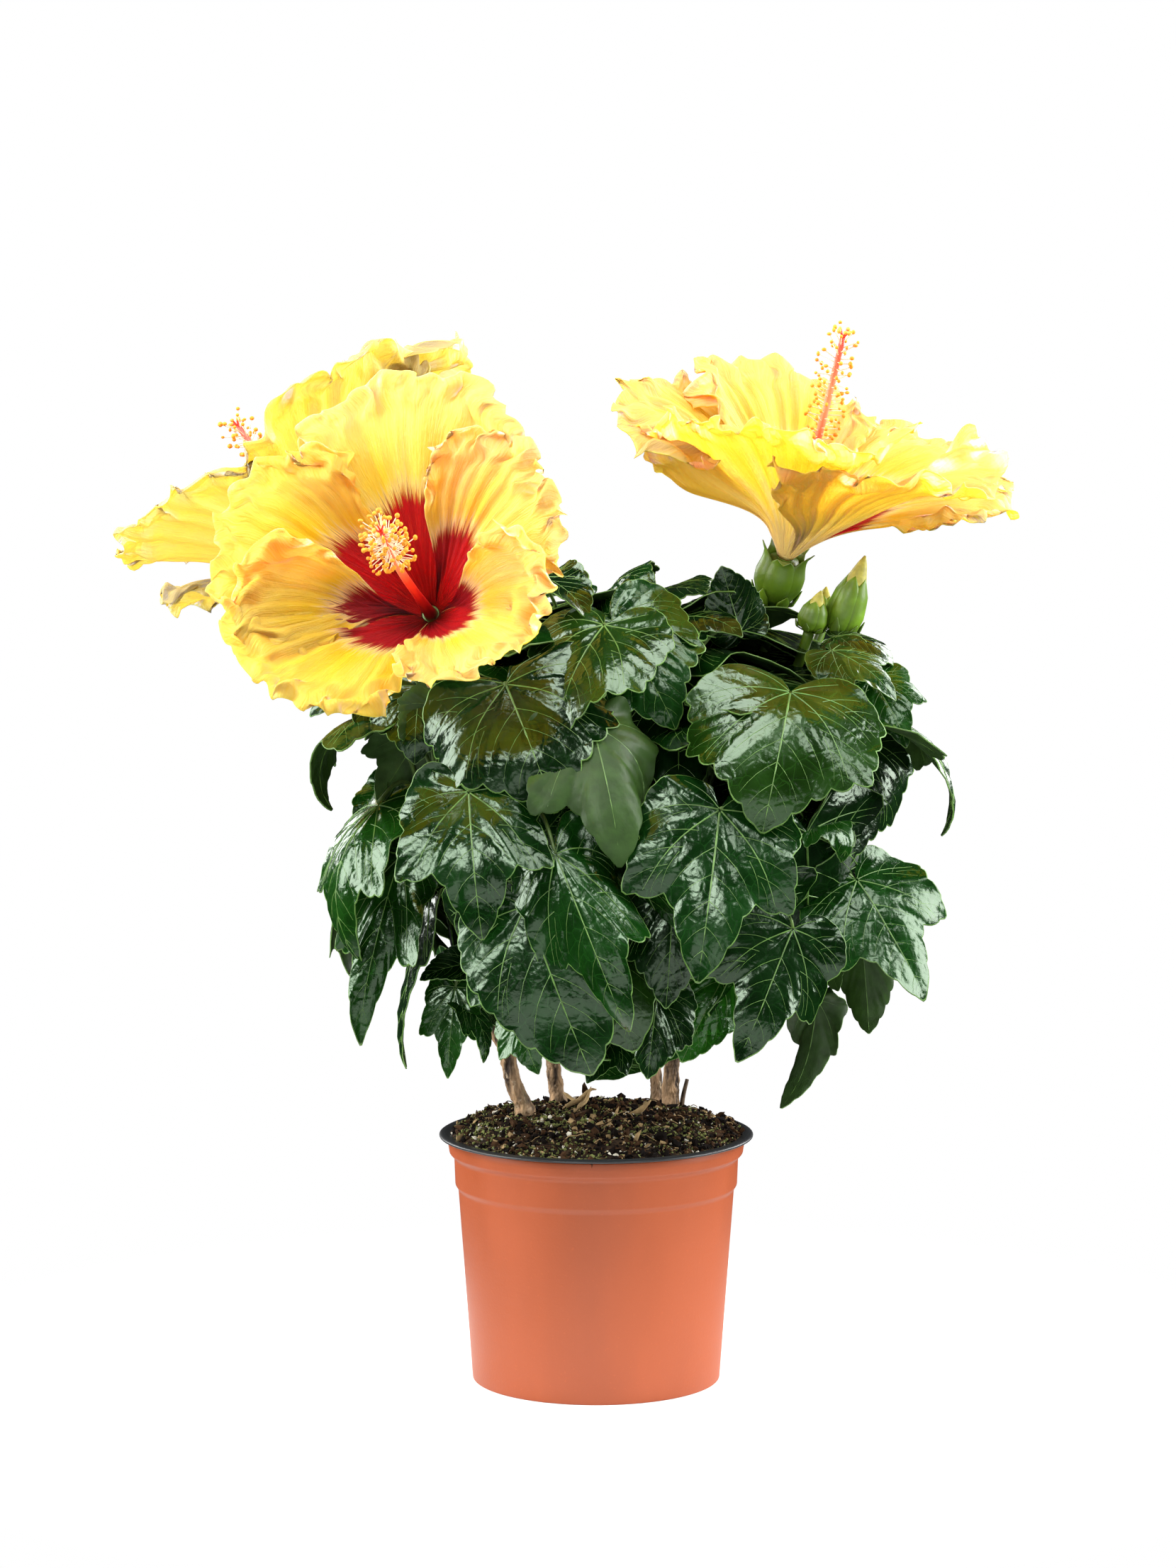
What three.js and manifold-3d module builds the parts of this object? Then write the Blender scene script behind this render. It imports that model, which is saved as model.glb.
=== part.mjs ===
// A potted hibiscus: a two-colour nursery pot, its root ball, four woody stems with their boughs,
// masses of foliage with hanging outer leaves, three large open blooms and three flower buds.
// Millimetres, +Z up. The origin is the centre of the pot's underside, and the front faces -Y.
import * as THREE from "three";
import { mergeVertices } from "three/addons/utils/BufferGeometryUtils.js";
import Module from "manifold-3d";

const wasm = await Module();
wasm.setup();

const GAP = 0.4; // clearance between pieces that touch
const MERGE = 1e-3; // vertices closer than this are one
const TURN = 2 * Math.PI;
const TO_RADIANS = Math.PI / 180;

const COLOURS = {
  terracotta: 0xc8683f,
  lining: 0x2b2c2d,
  soil: 0x2c2118,
  bark: 0x8a6b4a,
  leaf: 0x1f4a1c,
  petal: 0xf8cf3a,
  column: 0xc8281e,
  calyx: 0x5b8a2a,
};
const ROUGHNESS = {
  terracotta: 0.5,
  lining: 0.4,
  soil: 0.95,
  bark: 0.85,
  leaf: 0.3,
  petal: 0.6,
  column: 0.5,
  calyx: 0.5,
};

// ---- the pot ----
const POT = {
  height: 103,
  baseRadius: 51.2, // outside, at the ground
  bodyRadius: 57.2, // outside, under the upper band
  bandStart: 80, // where the upper band begins
  bandRadius: 58.7,
  collarStart: 93, // the wider collar under the rim
  collarRadius: 61.3,
  shellTop: 99.4,
  wall: 1.3, // terracotta layer
  lining: 0.9, // dark inner layer
  floor: 2.4,
  rimRadius: 65,
  rimThickness: 1.7,
  segments: 28,
};
const DRAIN = { count: 6, radius: 4, ring: 32, sides: 6 };

// ---- the root ball ----
const SOIL = { edge: 101.2, crown: 105.5, roughness: 1.3, rings: 4, segments: 24, footPatch: 9 };

// ---- stems: foot on the soil, then the way up to the fork ----
const STEMS = {
  stem_left: { way: [[-29, 5], [-33.5, 4, 120], [-38, 3, 138], [-46, 0, 154], [-50, -3, 170]], foot: 3.5, tip: 2.4 },
  stem_back: { way: [[-16, 42], [-18, 41, 122], [-17, 39, 145], [-12, 36, 172]], foot: 3.2, tip: 2.3 },
  stem_right: { way: [[31.5, 34], [32, 33, 125], [37, 31, 148], [41, 27, 172]], foot: 3.3, tip: 2.4 },
  stem_rear_right: { way: [[26, 44.5], [25, 46, 124], [24, 48, 146], [25, 52, 170]], foot: 3.1, tip: 2.2 },
};
const FLARE = 1.45; // how much wider a stem is at the soil than just above it
const STEM_SIDES = 8;
const STEM_RINGS = 8;

// ---- boughs: from a stem's fork to the mass that each carries ----
const BOUGHS = {
  bough_left: { from: "stem_left", to: [-76, -12, 226], bend: [-60, -4, 200], side: [-1.6, 0, 0] },
  bough_front_left: { from: "stem_left", to: [-38, -40, 222], bend: [-46, -20, 200], side: [2.4, -1.4, 0] },
  bough_centre: { from: "stem_back", to: [4, 8, 268], bend: [-2, 22, 222], side: [2.4, -0.8, 0] },
  bough_back_left: { from: "stem_back", to: [-42, 56, 224], bend: [-26, 46, 202], side: [-2.2, 1, 0] },
  bough_front_right: { from: "stem_right", to: [42, -36, 224], bend: [42, -8, 202], side: [-1, -2.4, 0] },
  bough_right: { from: "stem_right", to: [84, 2, 232], bend: [62, 14, 204], side: [2.4, 0.6, 0] },
  bough_back_right: { from: "stem_rear_right", to: [44, 58, 226], bend: [32, 54, 202], side: [0, 0, 0] },
};
const BOUGH = { start: 2, end: 1.3, sides: 6, rings: 4 };

// ---- foliage: lumps by centre and half sizes ----
const MASSES = {
  foliage_top: { at: [16, -4, 290], half: [66, 56, 42] },
  foliage_front_left: { at: [-42, -62, 236], half: [50, 42, 50] },
  foliage_front_right: { at: [50, -60, 238], half: [54, 42, 52] },
  foliage_left: { at: [-87, -8, 246], half: [38, 48, 42] },
  foliage_right: { at: [96, -4, 250], half: [37, 50, 50] },
  foliage_back_left: { at: [-54, 68, 244], half: [56, 42, 54] },
  foliage_back_right: { at: [52, 70, 246], half: [58, 42, 54] },
  skirt_front: { at: [-4, -58, 168], half: [50, 36, 36] },
  skirt_left: { at: [-66, -8, 182], half: [26, 42, 36] },
  skirt_right: { at: [84, -16, 180], half: [36, 40, 40] },
  skirt_back: { at: [4, 76, 176], half: [60, 32, 40] },
};
// Outer leaves that hang clear of the masses, each a slim lump from its root to its tip.
const DRAPES = {
  drape_left_upper: { root: [-112, -20, 268], tip: [-128, -34, 238], half: [15, 11] },
  drape_left_middle: { root: [-112, -28, 244], tip: [-112, -40, 172], half: [16, 10] },
  drape_left_lower: { root: [-97, -32, 214], tip: [-96, -42, 142], half: [12, 9] },
  drape_low_left: { root: [-62, -34, 166], tip: [-62, -42, 124], half: [13, 9] },
  drape_right_upper: { root: [124, -14, 264], tip: [152, -26, 224], half: [17, 12] },
  drape_right_middle: { root: [114, -22, 206], tip: [146, -36, 166], half: [21, 12] },
  drape_right_lower: { root: [108, -30, 186], tip: [111, -38, 142], half: [13, 9] },
  drape_low_right: { root: [88, -34, 162], tip: [84, -42, 110], half: [13, 8] },
  drape_back_left: { root: [-92, 58, 210], tip: [-98, 70, 146], half: [15, 11] },
  drape_back_right: { root: [94, 60, 222], tip: [104, 72, 154], half: [15, 11] },
};
const LUMP = { detail: 2, drapeDetail: 1, roughness: 0.15, waves: 3.1 };

// ---- blooms: base is where the petals leave the calyx, axis is the way the bloom faces ----
// top is the way that its first petal lies, turned by roll degrees; lifts raise each petal's rim.
const BLOOMS = {
  front: {
    base: [-65, -66, 321], axis: [-0.21, -0.87, 0.44], top: [0, 0, 1], roll: 5, radius: 72, depth: 50,
    lifts: [0, 3, -4, -2, 4], column: { length: 91, lean: [0.04, -0.03, -0.05] },
    stalk: [[-56, -22, 292], [-46, -6, 272]],
  },
  back: {
    base: [-93, 24, 328], axis: [-0.6, 0.3, 0.74], top: [0, 0, 1], roll: 16, radius: 88, depth: 52,
    lifts: [4, -3, 4, -5, 3], column: { length: 90, lean: [-0.03, 0, -0.02] },
    stalk: [[-68, 14, 298], [-60, 8, 262]],
  },
  right: {
    base: [77, 0, 340], axis: [0.25, -0.31, 0.92], top: [0, 1, 0], roll: 15, radius: 82, depth: 54,
    lifts: [6, 5, -2, -4, -5], column: { length: 97, lean: [-0.03, 0, 0] },
    stalk: [[72, 5, 302], [70, 6, 282]],
  },
};
const PETAL = {
  count: 5,
  inner: 3.4, // radius of the ring where the petals start
  thickness: 1.6,
  notch: 0.1, // how far the rim falls back between petals
  across: 4,
  along: 5,
  flare: 1.12, // how the radius grows along the petal
  cup: 1.7, // how early the depth is reached
};
const COLUMN = { foot: 2.6, neck: 1.7, brush: 8.5, brushStart: 0.6, sides: 8 };
const CALYX = { depth: 22, belly: 8.2, mouth: 6.4, stalk: 2.1, sides: 9 };

// ---- buds: seat on the shoot, tip, and widest half width ----
const BUD_STALK = 1.6;
const BUDS = {
  bud_large: { seat: [97, -10, 306], tip: [109, -14, 342], half: 8.6, stalk: [[88, -6, 292], [82, -3, 282]] },
  bud_small: { seat: [85, -14, 306], tip: [91, -18, 328], half: 6.4, stalk: [[82, -11, 296], [78, -6, 284]] },
  bud_rear: { seat: [92, 12, 308], tip: [95, 15, 328], half: 5.6, stalk: [[86, 9, 296], [80, 5, 284]] },
};

const vec = (a) => new THREE.Vector3(...a);

function solidOf(geometry) {
  const plain = geometry.index ? geometry.toNonIndexed() : geometry.clone();
  const bare = new THREE.BufferGeometry().setAttribute("position", plain.getAttribute("position"));
  const merged = mergeVertices(bare, MERGE);
  return new wasm.Manifold(
    new wasm.Mesh({
      numProp: 3,
      vertProperties: merged.attributes.position.array,
      triVerts: new Uint32Array(merged.index.array),
    }),
  );
}

function geometryOf(solid) {
  const mesh = solid.getMesh();
  const points = new Float32Array(mesh.numVert * 3);
  for (let i = 0; i < mesh.numVert; i++) {
    const start = i * mesh.numProp;
    points.set(mesh.vertProperties.subarray(start, start + 3), i * 3);
  }
  const geometry = new THREE.BufferGeometry();
  geometry.setAttribute("position", new THREE.BufferAttribute(points, 3));
  geometry.setIndex(new THREE.BufferAttribute(mesh.triVerts, 1));
  geometry.computeVertexNormals();
  return geometry;
}

// The biggest body of a solid that a cut may have left in several.
function mainBody(solid) {
  return solid.decompose().reduce((best, body) => (body.volume() > best.volume() ? body : best));
}

function moved(geometry, place) {
  const position = geometry.attributes.position;
  const point = new THREE.Vector3();
  for (let i = 0; i < position.count; i++) {
    point.fromBufferAttribute(position, i);
    place(point);
    position.setXYZ(i, point.x, point.y, point.z);
  }
  return geometry;
}

// A tapering limb along a smooth curve, closed by a flat cut at each end.
function limb(way, radiusAt, sides, rings, grow = 0) {
  const curve = new THREE.CatmullRomCurve3(way);
  const frames = curve.computeFrenetFrames(rings);
  const across = frames.normals[0].clone();
  const geometry = new THREE.CylinderGeometry(1, 1, 1, sides, rings);
  return moved(geometry, (point) => {
    const share = point.y + 0.5;
    const centre = curve.getPointAt(share);
    const along = curve.getTangentAt(share);
    const first = across.clone().addScaledVector(along, -across.dot(along)).normalize();
    const second = new THREE.Vector3().crossVectors(first, along);
    const radius = radiusAt(share) + grow;
    const { x, z } = point;
    point.copy(centre).addScaledVector(first, x * radius).addScaledVector(second, z * radius);
    point.addScaledVector(along, grow * (share === 1 ? 1 : 0));
  });
}

// ---- pot ----
function potShell() {
  const p = POT;
  const inside = (radius) => radius - p.wall;
  const profile = [
    [0, 0], [p.baseRadius, 0], [p.bodyRadius, p.bandStart - 1], [p.bandRadius - 0.6, p.bandStart],
    [p.bandRadius, p.collarStart - 1], [p.collarRadius - 0.3, p.collarStart + 0.6],
    [p.collarRadius, p.shellTop], [inside(p.collarRadius), p.shellTop],
    [inside(p.collarRadius), p.collarStart + 1.6], [inside(p.bandRadius), p.collarStart - 0.4],
    [inside(p.bodyRadius), p.bandStart - 1], [inside(p.baseRadius), p.floor / 2], [0, p.floor / 2],
  ];
  return potTurned(profile).subtract(drainHoles(DRAIN.radius));
}

function potLining() {
  const p = POT;
  const skin = p.wall + GAP;
  const outside = (radius) => radius - skin;
  const inside = (radius) => radius - skin - p.lining;
  const lip = p.height - p.rimThickness;
  const profile = [
    [0, p.floor / 2 + GAP], [outside(p.baseRadius), p.floor / 2 + GAP],
    [outside(p.bodyRadius), p.bandStart - 1], [outside(p.bandRadius), p.collarStart - 0.1],
    [outside(p.collarRadius), p.collarStart + 2.1], [outside(p.collarRadius), p.shellTop + GAP],
    [p.rimRadius - 0.4, lip], [p.rimRadius, p.height - 0.4], [p.rimRadius - 0.6, p.height],
    [inside(p.collarRadius) + 1, p.height - 0.4], [inside(p.collarRadius), lip - 1],
    [inside(p.collarRadius), p.collarStart + 2.3], [inside(p.bandRadius), p.collarStart],
    [inside(p.bodyRadius), p.bandStart - 1], [inside(p.baseRadius), p.floor + 0.6], [0, p.floor + 0.6],
  ];
  return potTurned(profile).subtract(drainHoles(DRAIN.radius));
}

// A body of revolution about +Z from a profile of [radius, height].
function turned(profile, segments) {
  const points = profile.map(([radius, height]) => new THREE.Vector2(radius, height));
  return solidOf(new THREE.LatheGeometry(points, segments).rotateX(Math.PI / 2));
}

const potTurned = (profile) => turned(profile, POT.segments);

function drainHoles(radius) {
  let holes = null;
  for (let i = 0; i < DRAIN.count; i++) {
    const angle = (i / DRAIN.count) * TURN;
    const pin = new THREE.CylinderGeometry(radius, radius, 4 * POT.floor, DRAIN.sides);
    pin.rotateX(Math.PI / 2).translate(DRAIN.ring * Math.cos(angle), DRAIN.ring * Math.sin(angle), 0);
    holes = holes ? holes.add(solidOf(pin)) : solidOf(pin);
  }
  return holes;
}

// ---- root ball ----
const feet = Object.values(STEMS).map(({ way }) => way[0]);

function groundAt(x, y) {
  const share = Math.min(1, Math.hypot(x, y) / POT.bandRadius);
  const dome = SOIL.edge + (SOIL.crown - SOIL.edge) * (1 - share ** 2);
  const lumps = Math.sin(x * 0.31 + 1.7) * Math.cos(y * 0.27) + 0.6 * Math.sin((x - y) * 0.22);
  const nearest = Math.min(...feet.map(([fx, fy]) => Math.hypot(x - fx, y - fy)));
  const away = THREE.MathUtils.smoothstep(nearest, SOIL.footPatch * 0.6, SOIL.footPatch * 1.5);
  return dome + SOIL.roughness * lumps * away * (1 - share ** 4);
}

// The level of the flat patch that a stem stands on.
const footLevel = ([x, y]) => groundAt(x, y) + GAP;

function rootBall() {
  const p = POT;
  const skin = p.wall + 2 * GAP + p.lining;
  const floor = p.floor + 0.6 + GAP;
  const top = [];
  const brim = p.collarRadius - skin - 0.4;
  for (let i = SOIL.rings; i >= 0; i--) top.push([(brim * i) / SOIL.rings, p.height]);
  const profile = [
    [0, floor], [p.baseRadius - skin - 0.3, floor], [p.bodyRadius - skin - 0.3, p.bandStart - 1],
    [p.bandRadius - skin - 0.3, p.collarStart], [brim, p.collarStart + 3.2], ...top,
  ];
  const points = profile.map(([radius, height]) => new THREE.Vector2(radius, height));
  const geometry = new THREE.LatheGeometry(points, SOIL.segments).rotateX(Math.PI / 2);
  const ball = solidOf(moved(geometry, (point) => {
    if (point.z > p.height - 0.01) point.z = groundAt(point.x, point.y);
  }));
  return feet.reduce((ground, foot) => {
    const level = groundAt(...foot);
    const cutter = new THREE.CylinderGeometry(SOIL.footPatch * 0.75, SOIL.footPatch * 0.75, 10, 9);
    return ground.subtract(solidOf(cutter.rotateX(Math.PI / 2).translate(foot[0], foot[1], level + 5)));
  }, ball);
}

// ---- stems and boughs ----
function stemWay({ way }) {
  const [foot, ...rest] = way;
  const start = new THREE.Vector3(foot[0], foot[1], footLevel(foot));
  return [start, new THREE.Vector3(foot[0], foot[1], start.z + 5), ...rest.map(vec)];
}

function stem(spec, grow = 0) {
  const radiusAt = (share) => {
    const taper = THREE.MathUtils.lerp(spec.foot, spec.tip, share);
    return taper * (1 + (FLARE - 1) * Math.max(0, 1 - share / 0.12) ** 2);
  };
  return solidOf(limb(stemWay(spec), radiusAt, STEM_SIDES, STEM_RINGS, grow));
}

// The foot of each bough stands just above its stem's fork, a little to its own side.
function boughWay({ from, to, bend, side }) {
  const fork = vec(STEMS[from].way.at(-1));
  const foot = fork.clone().add(vec(side)).add(new THREE.Vector3(0, 0, GAP * 2));
  return [foot, foot.clone().add(new THREE.Vector3(side[0], side[1], 9)), vec(bend), vec(to)];
}

function bough(spec, grow = 0) {
  const radiusAt = (share) => THREE.MathUtils.lerp(BOUGH.start, BOUGH.end, share);
  return solidOf(limb(boughWay(spec), radiusAt, BOUGH.sides, BOUGH.rings, grow));
}

// ---- blooms ----
function bloomFrame({ base, axis, top, roll }) {
  const along = vec(axis).normalize();
  const up = vec(top).addScaledVector(along, -vec(top).dot(along)).normalize();
  up.applyAxisAngle(along, roll * TO_RADIANS);
  const side = new THREE.Vector3().crossVectors(along, up);
  return new THREE.Matrix4().makeBasis(up, side, along).setPosition(vec(base));
}

// Radius and height of the funnel at a share of the petal's length.
function funnel(bloom, share, lift = 0) {
  const radius = PETAL.inner + (bloom.radius - PETAL.inner) * share ** PETAL.flare;
  const rise = bloom.depth * (1 - (1 - share) ** PETAL.cup) + lift * share ** 2;
  const height = GAP + PETAL.thickness + rise;
  return { radius, height };
}

function petal(bloom, index) {
  const middle = (index * TURN) / PETAL.count;
  const geometry = new THREE.BoxGeometry(2, 1, 1, PETAL.across, PETAL.along, 1);
  moved(geometry, (point) => {
    const across = point.x;
    const share = (point.y + 0.5) * (1 - PETAL.notch * Math.abs(across) ** 3);
    const { radius, height } = funnel(bloom, share, bloom.lifts[index]);
    const half = TURN / PETAL.count / 2 - GAP / 2 / radius;
    const angle = middle - across * half;
    const raise = (point.z - 0.5) * PETAL.thickness;
    point.set(radius * Math.cos(angle), radius * Math.sin(angle), height + raise);
  });
  return solidOf(geometry.applyMatrix4(bloomFrame(bloom)));
}

// Everything inside a bloom's funnel, which the foliage keeps clear of.
function bloomSpace(bloom) {
  const steps = 5;
  const profile = [[0, -2]];
  for (let i = 0; i <= steps; i++) {
    const { radius, height } = funnel(bloom, i / steps);
    profile.push([radius + 2, height - PETAL.thickness - 5]);
  }
  profile.push([bloom.radius + 2, bloom.depth + 14], [0, bloom.depth + 14]);
  const points = profile.map(([radius, height]) => new THREE.Vector2(radius, height));
  const space = new THREE.LatheGeometry(points, 20).rotateX(Math.PI / 2);
  return solidOf(space.applyMatrix4(bloomFrame(bloom)));
}

function column(bloom) {
  const { length, lean } = bloom.column;
  const start = COLUMN.brushStart;
  const stations = [
    [0, 0], [COLUMN.foot, 0], [COLUMN.neck, length * 0.25], [COLUMN.neck, length * start],
    [COLUMN.brush * 0.75, length * (start + 0.08)], [COLUMN.brush, length * (start + 0.2)],
    [COLUMN.brush * 0.95, length * 0.92], [COLUMN.brush * 0.55, length], [0, length],
  ];
  const points = stations.map(([radius, height]) => new THREE.Vector2(radius, height + 2 * GAP));
  const geometry = new THREE.LatheGeometry(points, COLUMN.sides).rotateX(Math.PI / 2);
  geometry.applyMatrix4(bloomFrame(bloom));
  const base = vec(bloom.base);
  return solidOf(moved(geometry, (point) => {
    const along = point.distanceTo(base) / length;
    point.addScaledVector(vec(lean), length * along ** 2);
  }));
}

function stalk(start, way, radius) {
  return solidOf(limb([start, ...way.map(vec)], () => radius, 5, 3));
}

function calyx(bloom, grow = 0) {
  const { depth } = CALYX;
  const belly = CALYX.belly + grow;
  const mouth = CALYX.mouth + grow;
  const neck = CALYX.stalk + grow;
  const profile = [
    [0, -depth], [neck, -depth], [belly * 0.8, -depth * 0.72], [belly, -depth * 0.4], [mouth, 0], [0, 0],
  ];
  const points = profile.map(([radius, height]) => new THREE.Vector2(radius, height));
  const cup = new THREE.LatheGeometry(points, CALYX.sides).rotateX(Math.PI / 2);
  const frame = bloomFrame(bloom);
  const start = new THREE.Vector3(0, 0, -depth + 3).applyMatrix4(frame);
  return solidOf(cup.applyMatrix4(frame)).add(stalk(start, bloom.stalk, neck));
}

function bud({ seat, tip, half: width, stalk: way }, grow = 0) {
  const half = width + grow;
  const start = vec(seat);
  const axis = vec(tip).sub(start);
  const length = axis.length();
  const profile = [
    [0, 0], [half * 0.55, 0.5], [half, length * 0.3], [half * 0.85, length * 0.55],
    [half * 0.45, length * 0.85], [0, length],
  ];
  const points = profile.map(([radius, height]) => new THREE.Vector2(radius, height));
  const turn = new THREE.Quaternion().setFromUnitVectors(new THREE.Vector3(0, 0, 1), axis.normalize());
  const body = new THREE.LatheGeometry(points, 8).rotateX(Math.PI / 2).applyQuaternion(turn).translate(...seat);
  const foot = start.clone().addScaledVector(axis, 2);
  return solidOf(body).add(stalk(foot, way, BUD_STALK + grow));
}

// ---- foliage ----
function uneven(direction, seed) {
  const { x, y, z } = direction;
  const k = LUMP.waves;
  const broad = Math.sin(k * x + seed) * Math.cos(k * y - 2 * seed) + Math.sin(k * z + 3 * seed);
  const fine = Math.sin(2.3 * k * (x - z) + 5 * seed) * Math.cos(2.1 * k * y + seed);
  return 1 + LUMP.roughness * (0.6 * broad + 0.5 * fine);
}

function mass({ at, half }, seed, grow = 0) {
  const size = half.map((h) => h + grow);
  return solidOf(moved(new THREE.IcosahedronGeometry(1, LUMP.detail), (point) => {
    point.multiplyScalar(uneven(point, seed)).multiply(vec(size)).add(vec(at));
  }));
}

// A hanging leaf cluster: widest near its root, narrow at its tip.
function drape({ root, tip, half }, seed, grow = 0) {
  const start = vec(root);
  const axis = vec(tip).sub(start);
  const reach = axis.length() / 2 + grow;
  const turn = new THREE.Quaternion().setFromUnitVectors(new THREE.Vector3(0, 0, -1), axis.clone().normalize());
  const centre = start.addScaledVector(axis, 0.5);
  return solidOf(moved(new THREE.IcosahedronGeometry(1, LUMP.drapeDetail), (point) => {
    const taper = 0.72 + 0.28 * point.z;
    point.multiplyScalar(1 + 0.5 * (uneven(point, seed) - 1));
    point.set(point.x * (half[0] + grow) * taper, point.y * (half[1] + grow) * taper, point.z * reach);
    point.applyQuaternion(turn).add(centre);
  }));
}

// ---- assembly ----
const pot = new THREE.Group();
const plant = new THREE.Group();
const solids = new Map();

function place(group, name, solid, finish) {
  const material = new THREE.MeshStandardMaterial({
    color: COLOURS[finish],
    roughness: ROUGHNESS[finish],
    metalness: 0,
  });
  const mesh = new THREE.Mesh(geometryOf(solid), material);
  mesh.name = name;
  group.add(mesh);
  solids.set(name, solid);
}

place(pot, "pot_shell", potShell(), "terracotta");
place(pot, "pot_lining", potLining(), "lining");
place(pot, "root_ball", rootBall(), "soil");

const wood = []; // grown copies of the limbs, which the foliage is cut round
for (const [name, spec] of Object.entries(STEMS)) {
  place(plant, name, stem(spec), "bark");
  wood.push(stem(spec, GAP));
}
for (const [name, spec] of Object.entries(BOUGHS)) {
  place(plant, name, bough(spec), "bark");
  wood.push(bough(spec, GAP));
}

const clear = [...wood];
for (const [name, bloom] of Object.entries(BLOOMS)) {
  for (let i = 0; i < PETAL.count; i++) place(plant, `bloom_${name}_petal_${i + 1}`, petal(bloom, i), "petal");
  place(plant, `bloom_${name}_column`, column(bloom), "column");
  clear.push(bloomSpace(bloom));
}

for (const [name, bloom] of Object.entries(BLOOMS)) {
  place(plant, `bloom_${name}_calyx`, calyx(bloom), "calyx");
  clear.push(calyx(bloom, GAP));
}
for (const [name, spec] of Object.entries(BUDS)) {
  place(plant, name, bud(spec), "calyx");
  clear.push(bud(spec, GAP));
}

const lumps = [
  ...Object.entries(MASSES).map(([name, spec]) => ({ name, spec, build: mass })),
  ...Object.entries(DRAPES).map(([name, spec]) => ({ name, spec, build: drape })),
];
lumps.forEach(({ name, spec, build }, index) => {
  const seed = index * 1.37 + 0.4;
  const cut = clear.reduce((body, other) => body.subtract(other), build(spec, seed));
  place(plant, name, mainBody(cut), "leaf");
  clear.push(build(spec, seed, GAP));
});

const hibiscus = new THREE.Group();
hibiscus.add(pot, plant);
export default hibiscus;
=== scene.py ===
"""Potted hibiscus: the finished look of the plant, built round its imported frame.

Every piece is made in metres, in the frame's own axes: +Z up, the front facing -Y, and the origin at
the centre of the pot's underside. Each operator below makes one piece or one group of like pieces.
"""

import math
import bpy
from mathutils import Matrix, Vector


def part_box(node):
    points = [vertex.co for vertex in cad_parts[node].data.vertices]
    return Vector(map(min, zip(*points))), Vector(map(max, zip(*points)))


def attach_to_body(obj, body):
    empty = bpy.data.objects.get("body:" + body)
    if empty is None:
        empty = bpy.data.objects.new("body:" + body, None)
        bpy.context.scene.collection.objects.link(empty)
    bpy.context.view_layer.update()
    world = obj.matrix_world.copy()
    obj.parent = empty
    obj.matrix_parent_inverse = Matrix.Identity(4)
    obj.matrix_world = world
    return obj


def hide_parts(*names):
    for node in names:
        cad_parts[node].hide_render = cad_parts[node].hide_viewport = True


bl_info = {
    "name": "Potted Hibiscus",
    "version": (1, 0, 0),
    "blender": (4, 5, 0),
    "location": "View3D > Sidebar > Hibiscus",
    "description": "Builds a potted hibiscus with its pot, peat, stems, leaves, blooms and buds",
    "category": "Add Mesh",
}

import bmesh
import bpy
import numpy as np
from bpy.props import FloatProperty, FloatVectorProperty, IntProperty, PointerProperty
from mathutils import Matrix, Vector

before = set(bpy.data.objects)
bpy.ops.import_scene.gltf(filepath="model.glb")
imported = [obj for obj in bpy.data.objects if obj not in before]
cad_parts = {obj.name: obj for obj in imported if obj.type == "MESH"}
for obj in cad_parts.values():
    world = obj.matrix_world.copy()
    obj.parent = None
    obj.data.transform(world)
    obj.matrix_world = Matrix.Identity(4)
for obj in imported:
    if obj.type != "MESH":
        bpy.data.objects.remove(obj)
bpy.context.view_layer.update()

MM = 0.001
TURN = 2 * math.pi
GOLDEN_ANGLE = 2.39996  # turn between neighbours on a shoot, which spreads them evenly
UP = np.array((0.0, 0.0, 1.0))

MASSES = sorted(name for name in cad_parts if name.startswith(("foliage_", "skirt_")))
DRAPES = sorted(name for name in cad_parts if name.startswith("drape_"))
STEMS = sorted(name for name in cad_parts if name.startswith("stem_"))
BOUGHS = sorted(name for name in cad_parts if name.startswith("bough_"))
BUDS = sorted(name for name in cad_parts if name.startswith("bud_"))
STEM_SIDES, BOUGH_SIDES = 8, 6  # corners round a ring of a CAD limb
BLOOMS = ("front", "back", "right")
PETALS = 5


# ---------------------------------------------------------------- reading the frame


def unit(vector):
    return vector / max(np.linalg.norm(vector), 1e-12)


def node_points(name):
    """The different corners of a CAD node, as rows of x, y, z."""
    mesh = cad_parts[name].data
    corners = np.empty(len(mesh.vertices) * 3)
    mesh.vertices.foreach_get("co", corners)
    return np.unique(corners.reshape(-1, 3).round(6), axis=0)


def node_box(name):
    """Centre and half size of a CAD node."""
    low, high = (np.array(corner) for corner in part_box(name))
    return (low + high) / 2, (high - low) / 2


def centreline(name, sides):
    """Centres and radii of a limb's rings, from foot to tip."""
    points = node_points(name)
    foot = points[points[:, 2].argmin()]
    tip = points[points[:, 2].argmax()]
    points = points[((points - foot) @ (tip - foot)).argsort()]
    capped = sides + 1
    middle = np.split(points[capped:-capped], (len(points) - 2 * capped) // sides)
    rings = [points[:capped], *middle, points[-capped:]]
    centres = np.array([ring.mean(0) for ring in rings])
    radii = np.array([np.linalg.norm(ring - centre, axis=1).max() for ring, centre in zip(rings, centres)])
    return centres, radii


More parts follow.
